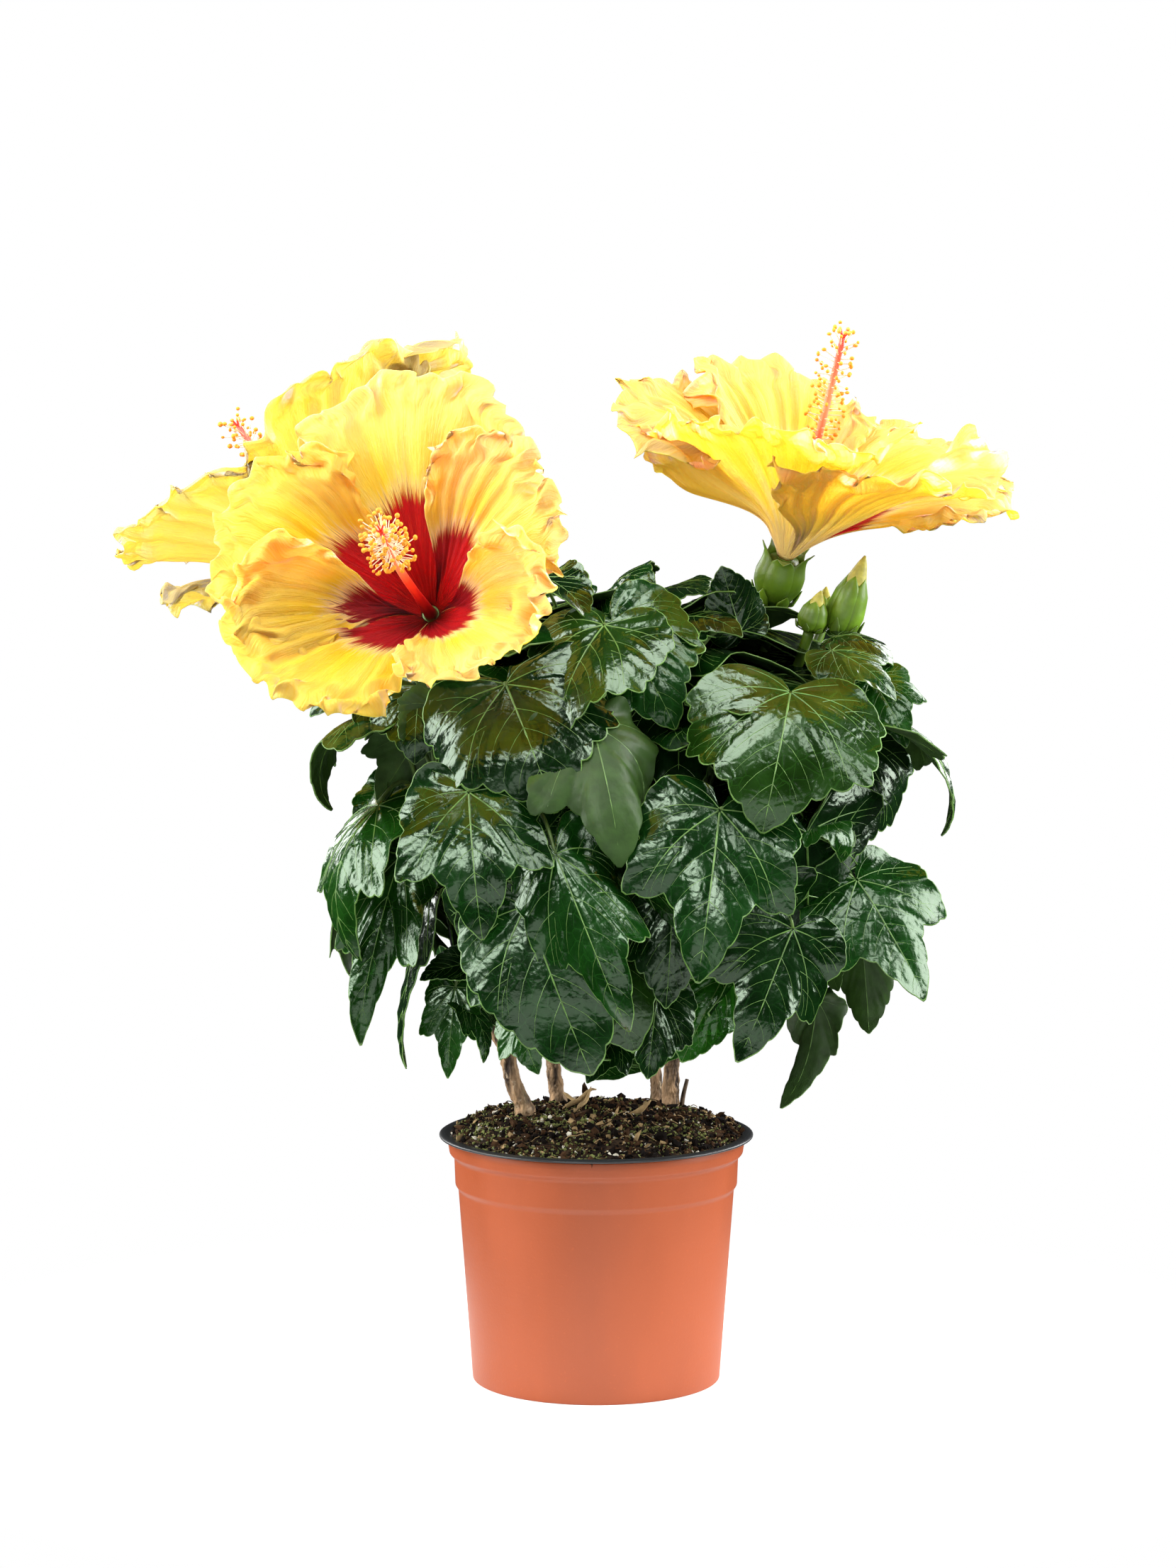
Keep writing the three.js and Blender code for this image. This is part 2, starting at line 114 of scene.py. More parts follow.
def bloom_plan(name):
    """Base, axis and petals of a bloom, read from its CAD petals."""
    petals = [node_points(f"bloom_{name}_petal_{i + 1}") for i in range(PETALS)]
    calyx = node_points(f"bloom_{name}_calyx")
    column = node_points(f"bloom_{name}_column")
    mouth = np.mean([p[np.linalg.norm(p - calyx.mean(0), axis=1).argmin()] for p in petals], axis=0)
    inner = np.concatenate([p[np.linalg.norm(p - mouth, axis=1).argsort()[:10]] for p in petals])
    base = inner.mean(0)
    axis = np.linalg.svd(inner - base)[2][2]
    axis *= np.sign(axis @ (np.concatenate(petals).mean(0) - base))
    plan = {"base": base, "axis": axis, "petals": [], "calyx": calyx}
    side = unit(np.cross(UP, axis))
    plan["side"], plan["top"] = side, np.cross(axis, side)
    for points in petals:
        away = points - base
        height = away @ axis
        flat = away - np.outer(height, axis)
        radius = np.linalg.norm(flat, axis=1)
        middle = flat.mean(0)
        rim = radius > radius.max() - 4 * MM
        plan["petals"].append({
            "angle": math.atan2(middle @ plan["top"], middle @ side),
            "inner": radius.min(),
            "radius": radius.max(),
            "height": height[rim].mean(),
        })
    reach = np.linalg.norm(column - base, axis=1)
    plan["tip"] = column[reach > reach.max() - 2 * MM].mean(0)
    return plan


# ---------------------------------------------------------------- materials


def add_node(tree, kind, inputs=None, **settings):
    node = tree.nodes.new(kind)
    for key, value in settings.items():
        setattr(node, key, value)
    for key, value in (inputs or {}).items():
        socket = node.inputs[key]
        if isinstance(value, bpy.types.NodeSocket):
            tree.links.new(value, socket)
        else:
            socket.default_value = value
    return node


def rgba(colour, share=1.0):
    return (colour[0] * share, colour[1] * share, colour[2] * share, 1.0)


def ramp(tree, value, stops):
    """A colour ramp from (position, colour) stops."""
    node = add_node(tree, "ShaderNodeValToRGB", {"Fac": value})
    elements = node.color_ramp.elements
    while len(elements) < len(stops):
        elements.new(0.5)
    for element, (position, colour) in zip(elements, stops):
        element.position = position
        element.color = rgba(colour)
    return node.outputs["Color"]


def mix(tree, factor, first, second):
    """A mix of two colours. The mix node has sockets for every data type: these are its colour ones."""
    sockets = {0: factor, 6: first, 7: second}
    return add_node(tree, "ShaderNodeMix", sockets, data_type="RGBA").outputs[2]


def maths(tree, operation, first, second=0.0):
    return add_node(tree, "ShaderNodeMath", {0: first, 1: second}, operation=operation).outputs[0]


def shifted(tree, value, pattern, amount):
    """The value, moved up and down by a pattern that lies round 0.5."""
    swing = maths(tree, "MULTIPLY", maths(tree, "SUBTRACT", pattern, 0.5), amount)
    return maths(tree, "ADD", value, swing)


def spread(tree, value, low, high, to_low=0.0, to_high=1.0):
    node = add_node(tree, "ShaderNodeMapRange", {
        "Value": value, "From Min": low, "From Max": high, "To Min": to_low, "To Max": to_high,
    }, interpolation_type="SMOOTHSTEP")
    return node.outputs["Result"]


def noise(tree, vector, scale, detail=3.0, stretch=(1, 1, 1)):
    mapping = add_node(tree, "ShaderNodeMapping", {"Vector": vector, "Scale": stretch})
    inputs = {"Vector": mapping.outputs[0], "Scale": scale, "Detail": detail}
    return add_node(tree, "ShaderNodeTexNoise", inputs).outputs[0]


def bump(tree, height, distance, strength=1.0, normal=None):
    inputs = {"Height": height, "Distance": distance, "Strength": strength}
    if normal is not None:
        inputs["Normal"] = normal
    return add_node(tree, "ShaderNodeBump", inputs).outputs[0]


def new_material(name, colour, roughness, build=None, **sockets):
    """A Principled material; build(tree, shader, place) adds its pattern on object coordinates."""
    material = bpy.data.materials.new(name)
    material.use_nodes = True
    material.diffuse_color = rgba(colour)
    tree = material.node_tree
    shader = tree.nodes["Principled BSDF"]
    shader.inputs["Base Color"].default_value = rgba(colour)
    shader.inputs["Roughness"].default_value = roughness
    for key, value in sockets.items():
        shader.inputs[key.replace("_", " ")].default_value = value
    if build:
        place = add_node(tree, "ShaderNodeTexCoord").outputs["Object"]
        build(tree, shader, place)
    return material


def mottled(name, colour, roughness, scale=400.0, amount=0.2, **sockets):
    """A material whose colour varies a little from place to place."""
    def build(tree, shader, place):
        cloud = noise(tree, place, scale, 3.0)
        tone = mix(tree, spread(tree, cloud, 0.3, 0.7), rgba(colour, 1 - amount), rgba(colour, 1 + amount))
        connect(tree, shader, Base_Color=tone, Normal=bump(tree, cloud, 0.0003, 0.4))
    return new_material(name, colour, roughness, build, **sockets)


def connect(tree, shader, **sources):
    for key, source in sources.items():
        tree.links.new(source, shader.inputs[key.replace("_", " ")])


def grain_place(tree):
    """The place on a sheet or tube from its Grain layer, and the two parts of it: across and along."""
    grain = add_node(tree, "ShaderNodeUVMap", uv_map="Grain").outputs[0]
    parts = add_node(tree, "ShaderNodeSeparateXYZ", {0: grain}).outputs
    return grain, parts[0], parts[1]


# ---------------------------------------------------------------- building meshes


def finish_piece(obj, nodes=()):
    """Puts a finished piece in the scene, on the frame's only body, in place of its CAD nodes."""
    bpy.context.scene.collection.objects.link(obj)
    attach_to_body(obj, "root")
    if nodes:
        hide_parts(*nodes)
    return obj


def piece_from_bmesh(bm, name, material, node):
    """A smooth piece of one material, in place of one CAD node."""
    mesh = bpy.data.meshes.new(name)
    bmesh.ops.recalc_face_normals(bm, faces=bm.faces[:])
    bm.to_mesh(mesh)
    bm.free()
    mesh.polygons.foreach_set("use_smooth", [True] * len(mesh.polygons))
    mesh.materials.append(material)
    return finish_piece(bpy.data.objects.new(name, mesh), [node])


def arrays_of(bm):
    """Corners and faces of a small shape, ready to be copied many times."""
    bm.verts.ensure_lookup_table()
    points = np.array([vert.co[:] for vert in bm.verts])
    faces = [tuple(vert.index for vert in face.verts) for face in bm.faces]
    bm.free()
    return points, faces


def two_sided_sheet(across, along, polar=None):
    """A closed sheet of no thickness: place across (-1..1), along (0..1) and side of each corner.

    With polar, the sheet is a fan of that half angle round its point at along 0, and across is the angle.
    """
    bm = bmesh.new()
    bmesh.ops.create_grid(bm, x_segments=across, y_segments=along, size=1)
    for vert in bm.verts:
        u, v = vert.co.x, (vert.co.y + 1) / 2
        if polar:
            angle = polar * u * (0.55 + 0.45 * abs(u))
            vert.co = (v * math.sin(angle), v * math.cos(angle), 0)
        else:
            vert.co = (u, v, 0)
    if polar:
        bmesh.ops.remove_doubles(bm, verts=bm.verts, dist=1e-6)
    bmesh.ops.recalc_face_normals(bm, faces=bm.faces[:])
    if bm.faces[0].normal.z < 0:
        bmesh.ops.reverse_faces(bm, faces=bm.faces[:])
    made = bmesh.ops.extrude_face_region(bm, geom=bm.faces[:], use_keep_orig=True)["geom"]
    lower = [part for part in made if isinstance(part, bmesh.types.BMVert)]
    bmesh.ops.translate(bm, verts=lower, vec=(0, 0, -1))
    bmesh.ops.recalc_face_normals(bm, faces=bm.faces[:])
    points, faces = arrays_of(bm)
    side = np.where(points[:, 2] > -0.5, 1.0, -1.0)
    if polar:
        first = np.arctan2(points[:, 0], points[:, 1])
        second = np.hypot(points[:, 0], points[:, 1])
    else:
        first, second = points[:, 0], points[:, 1]
    kinds = [int(round(sum(side[i] for i in face) / len(face))) for face in faces]
    return {"across": first, "along": second, "side": side, "faces": faces, "kinds": np.array(kinds)}


def unit_ball(cuts=0):
    """Corners and faces of a ball of radius 1."""
    bm = bmesh.new()
    bmesh.ops.create_icosphere(bm, subdivisions=1, radius=1)
    if cuts:
        bmesh.ops.subdivide_edges(bm, edges=bm.edges[:], cuts=cuts, use_grid_fill=True)
        for vert in bm.verts:
            vert.co.normalize()
    return arrays_of(bm)


class Gather:
    """Collects the corners and faces of many shapes and makes one joined piece of them."""

    def __init__(self):
        self.points, self.faces, self.slots, self.marks = [], [], [], []
        self.count = 0

    def add(self, points, faces, slots=0, marks=None):
        offset = self.count
        self.points.append(np.asarray(points))
        self.faces.extend(tuple(i + offset for i in face) for face in faces)
        self.slots.extend(np.broadcast_to(slots, len(faces)).tolist())
        if marks is not None:
            self.marks.append(marks)
        self.count += len(points)

    def tube(self, path, radii, sides, slot=0, relief=None, marks=None):
        """Adds a closed tube round a path. relief(angle, share) scales its radius."""
        self.add(tube_rings(path, radii, sides, relief), tube_faces(len(path), sides), slot, marks)

    def make(self, name, materials, slot, nodes=(), smooth=True):
        mesh = bpy.data.meshes.new(name)
        mesh.from_pydata(np.concatenate(self.points), [], self.faces)
        mesh.polygons.foreach_set("use_smooth", [smooth] * len(mesh.polygons))
        mesh.polygons.foreach_set("material_index", self.slots)
        for material in materials:
            mesh.materials.append(material)
        if self.marks:
            marks = np.concatenate(self.marks)
            corners = np.empty(len(mesh.loops), dtype=np.int32)
            mesh.loops.foreach_get("vertex_index", corners)
            layer = mesh.uv_layers.new(name="Grain")
            layer.data.foreach_set("uv", marks[corners].astype(np.float32).ravel())
        return finish_piece(bpy.data.objects.new(name, mesh), nodes)


def smooth_path(points, count):
    """A smooth curve of count points through a few, with equal steps between its points."""
    points = np.asarray(points, float)
    ends = np.vstack([2 * points[0] - points[1], points, 2 * points[-1] - points[-2]])
    curve = []
    for a, b, c, d in zip(ends, ends[1:], ends[2:], ends[3:]):
        t = np.linspace(0, 1, 24, endpoint=False)[:, None]
        curve.append(0.5 * (2 * b + (c - a) * t + (2 * a - 5 * b + 4 * c - d) * t**2
                            + (3 * b - a - 3 * c + d) * t**3))
    curve = np.vstack([*curve, points[-1:]])
    length = np.append(0, np.cumsum(np.linalg.norm(np.diff(curve, axis=0), axis=1)))
    even = np.linspace(0, length[-1], count)
    return np.column_stack([np.interp(even, length, curve[:, k]) for k in range(3)])


def tube_rings(path, radii, sides, relief=None):
    """Points of a tube round a path, ring by ring. relief(angle, share) scales its radius."""
    path = np.asarray(path, float)
    along = np.gradient(path, axis=0)
    along /= np.linalg.norm(along, axis=1)[:, None]
    guide = unit(np.cross(along[0], (0.3, 1, 0.2)))
    angles = np.linspace(0, TURN, sides, endpoint=False)
    rings = []
    for k, (centre, forward) in enumerate(zip(path, along)):
        guide = unit(guide - (guide @ forward) * forward)
        other = np.cross(forward, guide)
        scale = radii[k] * (relief(angles, k / (len(path) - 1)) if relief else np.ones(sides))
        first, second = np.cos(angles) * scale, np.sin(angles) * scale
        rings.append(centre + np.outer(first, guide) + np.outer(second, other))
    return np.concatenate(rings)


def tube_faces(count, sides):
    """Faces of a closed tube of count rings."""
    faces = []
    for k in range(count - 1):
        for i in range(sides):
            j = (i + 1) % sides
            faces.append((k * sides + i, k * sides + j, (k + 1) * sides + j, (k + 1) * sides + i))
    faces.append(tuple(range(sides - 1, -1, -1)))
    faces.append(tuple((count - 1) * sides + i for i in range(sides)))
    return faces


def turned_bmesh(profile, segments):
    """A body of revolution about +Z. Its profile of (radius, height) starts and ends on the axis."""
    bm = bmesh.new()
    verts = [bm.verts.new((radius, 0, height)) for radius, height in profile]
    edges = [bm.edges.new(pair) for pair in zip(verts, verts[1:])]
    bmesh.ops.spin(bm, geom=verts + edges, cent=(0, 0, 0), axis=(0, 0, 1), angle=TURN,
                   steps=segments, use_merge=True, use_duplicate=False)
    bmesh.ops.remove_doubles(bm, verts=bm.verts, dist=1e-7)
    return bm


def wobble(rng, dims, waves, size):
    """A smooth random function of points: a sum of sine waves in random directions, mostly within -1..1."""
    directions = rng.normal(size=(waves, dims))
    directions *= size * rng.uniform(0.6, 1.4, (waves, 1)) / np.linalg.norm(directions, axis=1)[:, None]
    phases = rng.uniform(0, TURN, waves)
    return lambda points: np.sin(points @ directions.T + phases).sum(axis=1) / math.sqrt(waves)


def rise(value, low, high):
    """0 below low, 1 above high, and a smooth step between them."""
    t = np.clip((value - low) / (high - low), 0, 1)
    return t * t * (3 - 2 * t)


# ---------------------------------------------------------------- settings


def colour_property(name, description, default):
    return FloatVectorProperty(
        name=name, description=description, default=default, subtype="COLOR", size=3, min=0, max=1)


class PotSettings(bpy.types.PropertyGroup):
    shell: colour_property("Shell", "Colour of the pot's outer layer", (0.315, 0.061, 0.0125))
    lining: colour_property("Lining", "Colour of the pot's inner layer and rim", (0.0176, 0.0192, 0.0208))
    segments: IntProperty(
        name="Segments", description="Steps round the pot", default=144, min=24, max=360)


class PeatSettings(bpy.types.PropertyGroup):
    dark: colour_property("Dark peat", "Main colour of the peat", (0.0128, 0.0072, 0.0048))
    crumbs: IntProperty(
        name="Crumbs", description="Loose crumbs on the surface", default=6400, min=0, max=9000)


class WoodSettings(bpy.types.PropertyGroup):
    bark: colour_property("Bark", "Main colour of the bark", (0.32, 0.2, 0.104))
    shoot: colour_property("Young shoot", "Colour of twigs and leaf stalks", (0.088, 0.16, 0.028))
    relief: FloatProperty(
        name="Bark relief", description="Depth of the bark's ridges as a share of the radius",
        default=0.12, min=0, max=0.4)


class LeafSettings(bpy.types.PropertyGroup):
    upper: colour_property("Upper side", "Main colour of the leaves' upper side", (0.0022, 0.0196, 0.0018))
    under: colour_property("Underside", "Colour of the leaves' underside", (0.052, 0.112, 0.028))
    vein: colour_property("Veins", "Colour of the veins and leaf margins", (0.104, 0.216, 0.04))
    length: FloatProperty(
        name="Leaf length", description="Usual length of a full-grown leaf", default=0.072,
        min=0.02, max=0.2, subtype="DISTANCE", unit="LENGTH")
    seed: IntProperty(name="Seed", description="Seed of the growing rule", default=11, min=0)


class BloomSettings(bpy.types.PropertyGroup):
    pale: colour_property("Petal rim", "Pale yellow of the petals", (1.0, 0.455, 0.08))
    deep: colour_property("Petal depth", "Deep yellow of the petals", (1.0, 0.37, 0.002))
    eye: colour_property("Eye", "Red at the heart of the bloom", (0.2, 0.0005, 0.003))
    anther: colour_property("Anthers", "Colour of the pollen", (0.8, 0.35, 0.015))
    sepal: colour_property("Sepals", "Colour of the calyx and the buds", (0.09, 0.175, 0.008))


class StageSettings(bpy.types.PropertyGroup):
    backdrop: FloatProperty(
        name="Backdrop", description="Brightness of the pale backdrop as seen", default=1.0, min=0)
    ambient: FloatProperty(
        name="Ambient", description="Brightness of the backdrop as a light", default=0.39, min=0)
    shine: FloatProperty(
        name="Shine", description="Brightness of the backdrop in glossy surfaces", default=0.03, min=0)
    softbox: FloatProperty(
        name="Softboxes", description="Power of the side softboxes", default=46.0, min=0, unit="POWER")


# ---------------------------------------------------------------- pot


def plastic(name, colour, roughness, speckle):
    def build(tree, shader, place):
        cloud = noise(tree, place, 26.0, 3.0, stretch=(1, 1, 0.35))
        tone = mix(tree, spread(tree, cloud, 0.35, 0.7), rgba(colour, 0.92), rgba(colour, 1.06))
        grain = noise(tree, place, 900.0, 2.0)
        tone = mix(tree, spread(tree, grain, 0.62, 0.78, 0.0, speckle), tone, rgba(colour, 1.35))
        connect(tree, shader, Base_Color=tone)
        connect(tree, shader, Roughness=spread(tree, cloud, 0.3, 0.75, roughness, roughness + 0.12))
        fine = bump(tree, grain, 0.00006)
        marks = noise(tree, place, 60.0, 2.0, stretch=(1, 1, 6))
        connect(tree, shader, Normal=bump(tree, marks, 0.00012, 0.5, fine))
    return new_material(name, colour, roughness, build, Specular_IOR_Level=0.45)


def rounded(profile, radius, steps=3):
    """The profile with each inner corner rounded off."""
    points = np.array(profile, float)
    made = [points[0]]
    for before, corner, after in zip(points, points[1:], points[2:]):
        first, second = before - corner, after - corner
        cut = min(radius, np.linalg.norm(first) * 0.45, np.linalg.norm(second) * 0.45)
        start, end = corner + unit(first) * cut, corner + unit(second) * cut
        for k in range(steps + 1):
            t = k / steps
            made.append((1 - t) ** 2 * start + 2 * t * (1 - t) * corner + t**2 * end)
    made.append(points[-1])
    return [tuple(point) for point in made]


def ring_radius(name, height):
    """Outer radius of a pot node at its corner ring nearest a height."""
    points = node_points(name)
    level = np.abs(points[:, 2] - height) < 0.6 * MM
    return np.hypot(points[level, 0], points[level, 1]).max()


# The drainage holes: how many, how far out, their radius, and the length of the pins that cut them.
HOLES, HOLE_RING, HOLE_RADIUS, PIN_LENGTH = 6, 32 * MM, 4 * MM, 12 * MM


class HIBISCUS_OT_pot(bpy.types.Operator):
    """Make the two layers of the nursery pot"""

    bl_idname = "hibiscus.pot"
    bl_label = "Pot"

    def execute(self, context):
        settings = context.scene.hibiscus_pot
        shell = plastic("TerracottaPlastic", settings.shell, 0.42, 0.35)
        lining = plastic("BlackPlastic", settings.lining, 0.26, 0.4)
        foot = ring_radius("pot_shell", 0)
        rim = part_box("pot_lining")[1].x
        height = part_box("pot_lining")[1].z
        top = height - 2.0 * MM
        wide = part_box("pot_shell")[1].x
        body = wide - 4.1 * MM
        band = wide - 2.6 * MM
        wall = 1.3 * MM
        hollow, floor, shoulder = 1.6 * MM, 3.2 * MM, 79 * MM
        outside = [
            (0, hollow), (foot - 7 * MM, hollow), (foot - 5.4 * MM, 0), (foot + 0.1 * MM, 0),
            (foot + 1.0 * MM, 12 * MM), (body - 0.1 * MM, 79.2 * MM), (body + 0.2 * MM, 80 * MM),
            (band - 0.3 * MM, 81.6 * MM), (band + 0.1 * MM, 92.4 * MM), (band + 0.5 * MM, 93.4 * MM),
            (wide - 0.5 * MM, 95 * MM), (wide, 98.4 * MM), (wide - 0.1 * MM, top),
        ]
        inside = [
            (wide - wall, top), (wide - wall, 96.4 * MM), (band - wall, 93.8 * MM),
            (body - wall, shoulder), (foot - wall, floor), (0, floor),
        ]
        bm = turned_bmesh(rounded(outside + inside, 0.5 * MM), settings.segments)
        outer = piece_from_bmesh(bm, "pot_outer", shell, "pot_shell")
        skin = wall + 0.3 * MM
        under, over = 3.4 * MM, 4.4 * MM  # the two faces of the lining's floor
        seat, brim = top + 0.35 * MM, top + 0.6 * MM
        lip = [
            (0, under), (foot - skin - 1.4 * MM, under), (body - skin, shoulder),
            (band - skin, 93.6 * MM), (wide - skin, 96.6 * MM), (wide - skin, seat),
            (wide + 0.7 * MM, seat), (wide + 1.4 * MM, brim),
            (rim - 0.35 * MM, brim), (rim, top + 0.9 * MM),
            (rim, height - 0.6 * MM), (rim - 0.8 * MM, height - 0.1 * MM),
            (rim - 2.4 * MM, height), (wide - skin + 0.2 * MM, height - 0.4 * MM),
            (wide - skin - 1.1 * MM, height - 2 * MM), (wide - skin - 1.1 * MM, 96.9 * MM),
            (band - skin - 1.0 * MM, 94 * MM), (body - skin - 0.9 * MM, shoulder),
            (foot - skin - 2.3 * MM, over), (0, over),
        ]
        bm = turned_bmesh(rounded(lip, 0.45 * MM), settings.segments)
        inner = piece_from_bmesh(bm, "pot_inner", lining, "pot_lining")
        for piece in (outer, inner):
            self.pierce(piece)
        return {"FINISHED"}

    def pierce(self, piece):
        """Cuts the drainage holes through the floor."""
        bm = bmesh.new()
        for i in range(HOLES):
            angle = i * TURN / HOLES
            place = Matrix.Translation((HOLE_RING * math.cos(angle), HOLE_RING * math.sin(angle), 2 * MM))
            bmesh.ops.create_cone(bm, cap_ends=True, segments=24, radius1=HOLE_RADIUS, radius2=HOLE_RADIUS,
                                  depth=PIN_LENGTH, matrix=place)
        mesh = bpy.data.meshes.new("HolePins")
        bm.to_mesh(mesh)
        bm.free()
        pins = bpy.data.objects.new("HolePins", mesh)
        bpy.context.scene.collection.objects.link(pins)
        cut = piece.modifiers.new("Holes", "BOOLEAN")
        cut.object, cut.operation, cut.solver = pins, "DIFFERENCE", "EXACT"
        graph = bpy.context.evaluated_depsgraph_get()
        result = bpy.data.meshes.new_from_object(piece.evaluated_get(graph))
        piece.modifiers.clear()
        result.name = piece.name
        piece.data = result
        bpy.data.objects.remove(pins)


# ---------------------------------------------------------------- peat


PEAT_SEED = 5
PEAT_RINGS, PEAT_STEPS = 34, 132  # of the surface, from the middle out and round
STRAWS = 210
# How often each kind of crumb comes: dark, brown, straw, moss and grain.
CRUMB_ODDS = (0.46, 0.33, 0.06, 0.09, 0.06)
STRAW, MOSS, GRAIN = 2, 3, 4
# Dry curls between the stems: place, the way they point in radians, and length in mm.
CURLS = ((-14, 12, 0.5, 16), (-8, 6, 1.1, 13), (-4, 16, 2.5, 12), (14, 4, 0.2, 9))
STUB = (36, 33)  # where the dead twig stands, in mm


class HIBISCUS_OT_peat(bpy.types.Operator):
    """Make the root ball with its crumbly surface"""

    bl_idname = "hibiscus.peat"
    bl_label = "Peat"

    def execute(self, context):
        settings = context.scene.hibiscus_peat
        rng = np.random.default_rng(PEAT_SEED)
        low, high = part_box("root_ball")
        edge = high.x + 2.6 * MM
        brim = ring_radius("root_ball", high.z - 5.6 * MM)
        feet = [np.array(centreline(name, STEM_SIDES)[0][0]) for name in STEMS]
        self.broad = wobble(rng, 2, 7, 130.0)
        self.fine = wobble(rng, 2, 14, 620.0)
        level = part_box("pot_lining")[1].z - 1.7 * MM

        def ground(xy):
            share = np.minimum(1, np.hypot(xy[:, 0], xy[:, 1]) / edge)
            # The peat is heaped above the rim, a little higher at the back.
            dome = level + 7.0 * MM * (1 - share**2) ** 0.7 + 3.2 * MM * rise(xy[:, 1] / MM, -35, 55)
            near = np.min([np.hypot(*(xy - foot[:2]).T) for foot in feet], axis=0)
            calm = np.clip(near / (9 * MM), 0.15, 1)
            rough = 1.1 * MM * self.broad(xy) + 0.7 * MM * self.fine(xy)
            return dome + rough * calm * (1 - 0.6 * share**6)

        floor = [(0, low.z + 1.8 * MM), (48 * MM, low.z + 1.8 * MM), (54 * MM, 80 * MM), (brim, 97 * MM)]
        # A corner 1 m up belongs to the surface, which is then laid on the ground.
        top = [(edge * k / PEAT_RINGS, 1.0) for k in range(PEAT_RINGS, -1, -1)]
        bm = turned_bmesh(floor + top, PEAT_STEPS)
        for vert in bm.verts:
            if vert.co.z > 0.5:
                vert.co.z = ground(np.array([vert.co[:2]]))[0]
        tones = self.materials(settings.dark)
        piece_from_bmesh(bm, "peat", tones[0], "root_ball")
        self.scatter(settings.crumbs, edge, ground, tones, rng)
        self.litter(edge, ground, tones, rng)
        return {"FINISHED"}

    def materials(self, dark):
        def peat(tree, shader, place):
            coarse = noise(tree, place, 240.0, 5.0)
            fine = noise(tree, place, 900.0, 4.0)
            tone = ramp(tree, coarse, [
                (0.3, [c * 0.4 for c in dark]), (0.5, dark),
                (0.66, (0.06, 0.036, 0.0176)), (0.8, (0.056, 0.06, 0.016)),
            ])
            connect(tree, shader, Base_Color=tone, Normal=bump(tree, fine, 0.0006, 0.9))
        return [
            new_material("Peat", dark, 1.0, peat, Specular_IOR_Level=0.1),
            mottled("PeatDark", (0.0048, 0.0028, 0.002), 1.0, Specular_IOR_Level=0.1),
            mottled("PeatBrown", (0.044, 0.0216, 0.0096), 1.0, Specular_IOR_Level=0.1),
            mottled("PeatStraw", (0.304, 0.208, 0.096), 0.9, Specular_IOR_Level=0.2),
            mottled("PeatMoss", (0.136, 0.152, 0.044), 0.9, Specular_IOR_Level=0.2),
            mottled("PeatGrain", (0.528, 0.496, 0.4), 0.8, Specular_IOR_Level=0.2),
        ]

    def scatter(self, count, edge, ground, tones, rng):
        """Crumbs lying on the surface."""
        ball, faces = unit_ball()
        radius = (edge - 0.6 * MM) * np.sqrt(rng.uniform(0, 1, count))
        angle = rng.uniform(0, TURN, count)
        xy = np.column_stack([radius * np.cos(angle), radius * np.sin(angle)])
        z = ground(xy)
        kinds = rng.choice(5, count, p=CRUMB_ODDS)
        # Moss grows in patches, mostly on the left.
        leaning = self.broad(xy + 0.02) - 12 * xy[:, 0]
        mossy = rng.uniform(0, 1, count) < 0.1 + 0.5 * rise(leaning, -0.2, 0.7)
        kinds = np.where(mossy & (kinds < STRAW), MOSS, kinds)
        crumbs = Gather()
        for place, height, kind in zip(xy, z, kinds):
            size = rng.uniform(0.35, 0.7) if kind > STRAW else rng.lognormal(-0.5, 0.5)
            if kind == GRAIN and rng.uniform() < 0.06:
                size = 1.1
            shape = rng.lognormal(-0.1, 0.42, 3) * min(size, 1.9) * MM
            turn = np.linalg.qr(rng.normal(size=(3, 3)))[0]
            if np.linalg.det(turn) < 0:
                turn[:, 0] *= -1
            bumpy = ball * rng.uniform(0.45, 1.4, (len(ball), 1))
            centre = np.array((*place, height + shape.min() * 0.35))
            crumbs.add((bumpy * shape) @ turn.T + centre, faces, int(kind))
        crumbs.make("peat_crumbs", tones[1:], "peat", smooth=False)

    def litter(self, edge, ground, tones, rng):
        """Thin straws and root hairs, and the stub of a dead twig."""
        straws = Gather()
        for _ in range(STRAWS):
            radius, angle = edge * 0.96 * math.sqrt(rng.uniform()), rng.uniform(0, TURN)
            start = np.array((radius * math.cos(angle), radius * math.sin(angle)))
            heading = rng.uniform(0, TURN)
            steps = np.linspace(0, rng.uniform(2.5, 10) * MM, 6)
            bend = np.cumsum(rng.normal(0, 0.3, 6)) + heading
            xy = start + np.column_stack([steps * np.cos(bend), steps * np.sin(bend)])
            inside = np.hypot(xy[:, 0], xy[:, 1]) < edge - MM
            if not inside.all():
                continue
            z = ground(xy) + 0.7 * MM + rng.uniform(0, 1.2) * MM * np.sin(np.linspace(0, math.pi, 6))
            width = rng.uniform(0.1, 0.24) * MM
            path = np.column_stack([xy, z])
            straws.tube(path, [width] * 6, 4, int(rng.choice((0, 1, 1, 2))))
        for x, y, turn, long in CURLS:
            share = np.linspace(0, 1, 9)
            xy = np.array((x, y)) * MM + np.outer(share * long * MM, (math.cos(turn), math.sin(turn)))
            z = ground(xy) + (0.6 + 5.5 * share**1.6) * MM
            path = np.column_stack([xy, z])
            girth = (0.35 + 1.0 * np.sin(math.pi * share) ** 0.6) * MM
            straws.tube(path, girth, 8, relief=lambda a, s: 0.25 + 0.75 * np.abs(np.cos(a + 2 * s)))
        stub = np.array(STUB) * MM
        base = ground(stub[None])[0] - MM
        path = smooth_path([(*stub, base), (stub[0] + 0.8 * MM, stub[1], base + 6 * MM),
                            (stub[0] + 2.4 * MM, stub[1] - MM, base + 13 * MM)], 9)
        straws.tube(path, np.linspace(1.1, 0.8, 9) * MM, 8, 3)
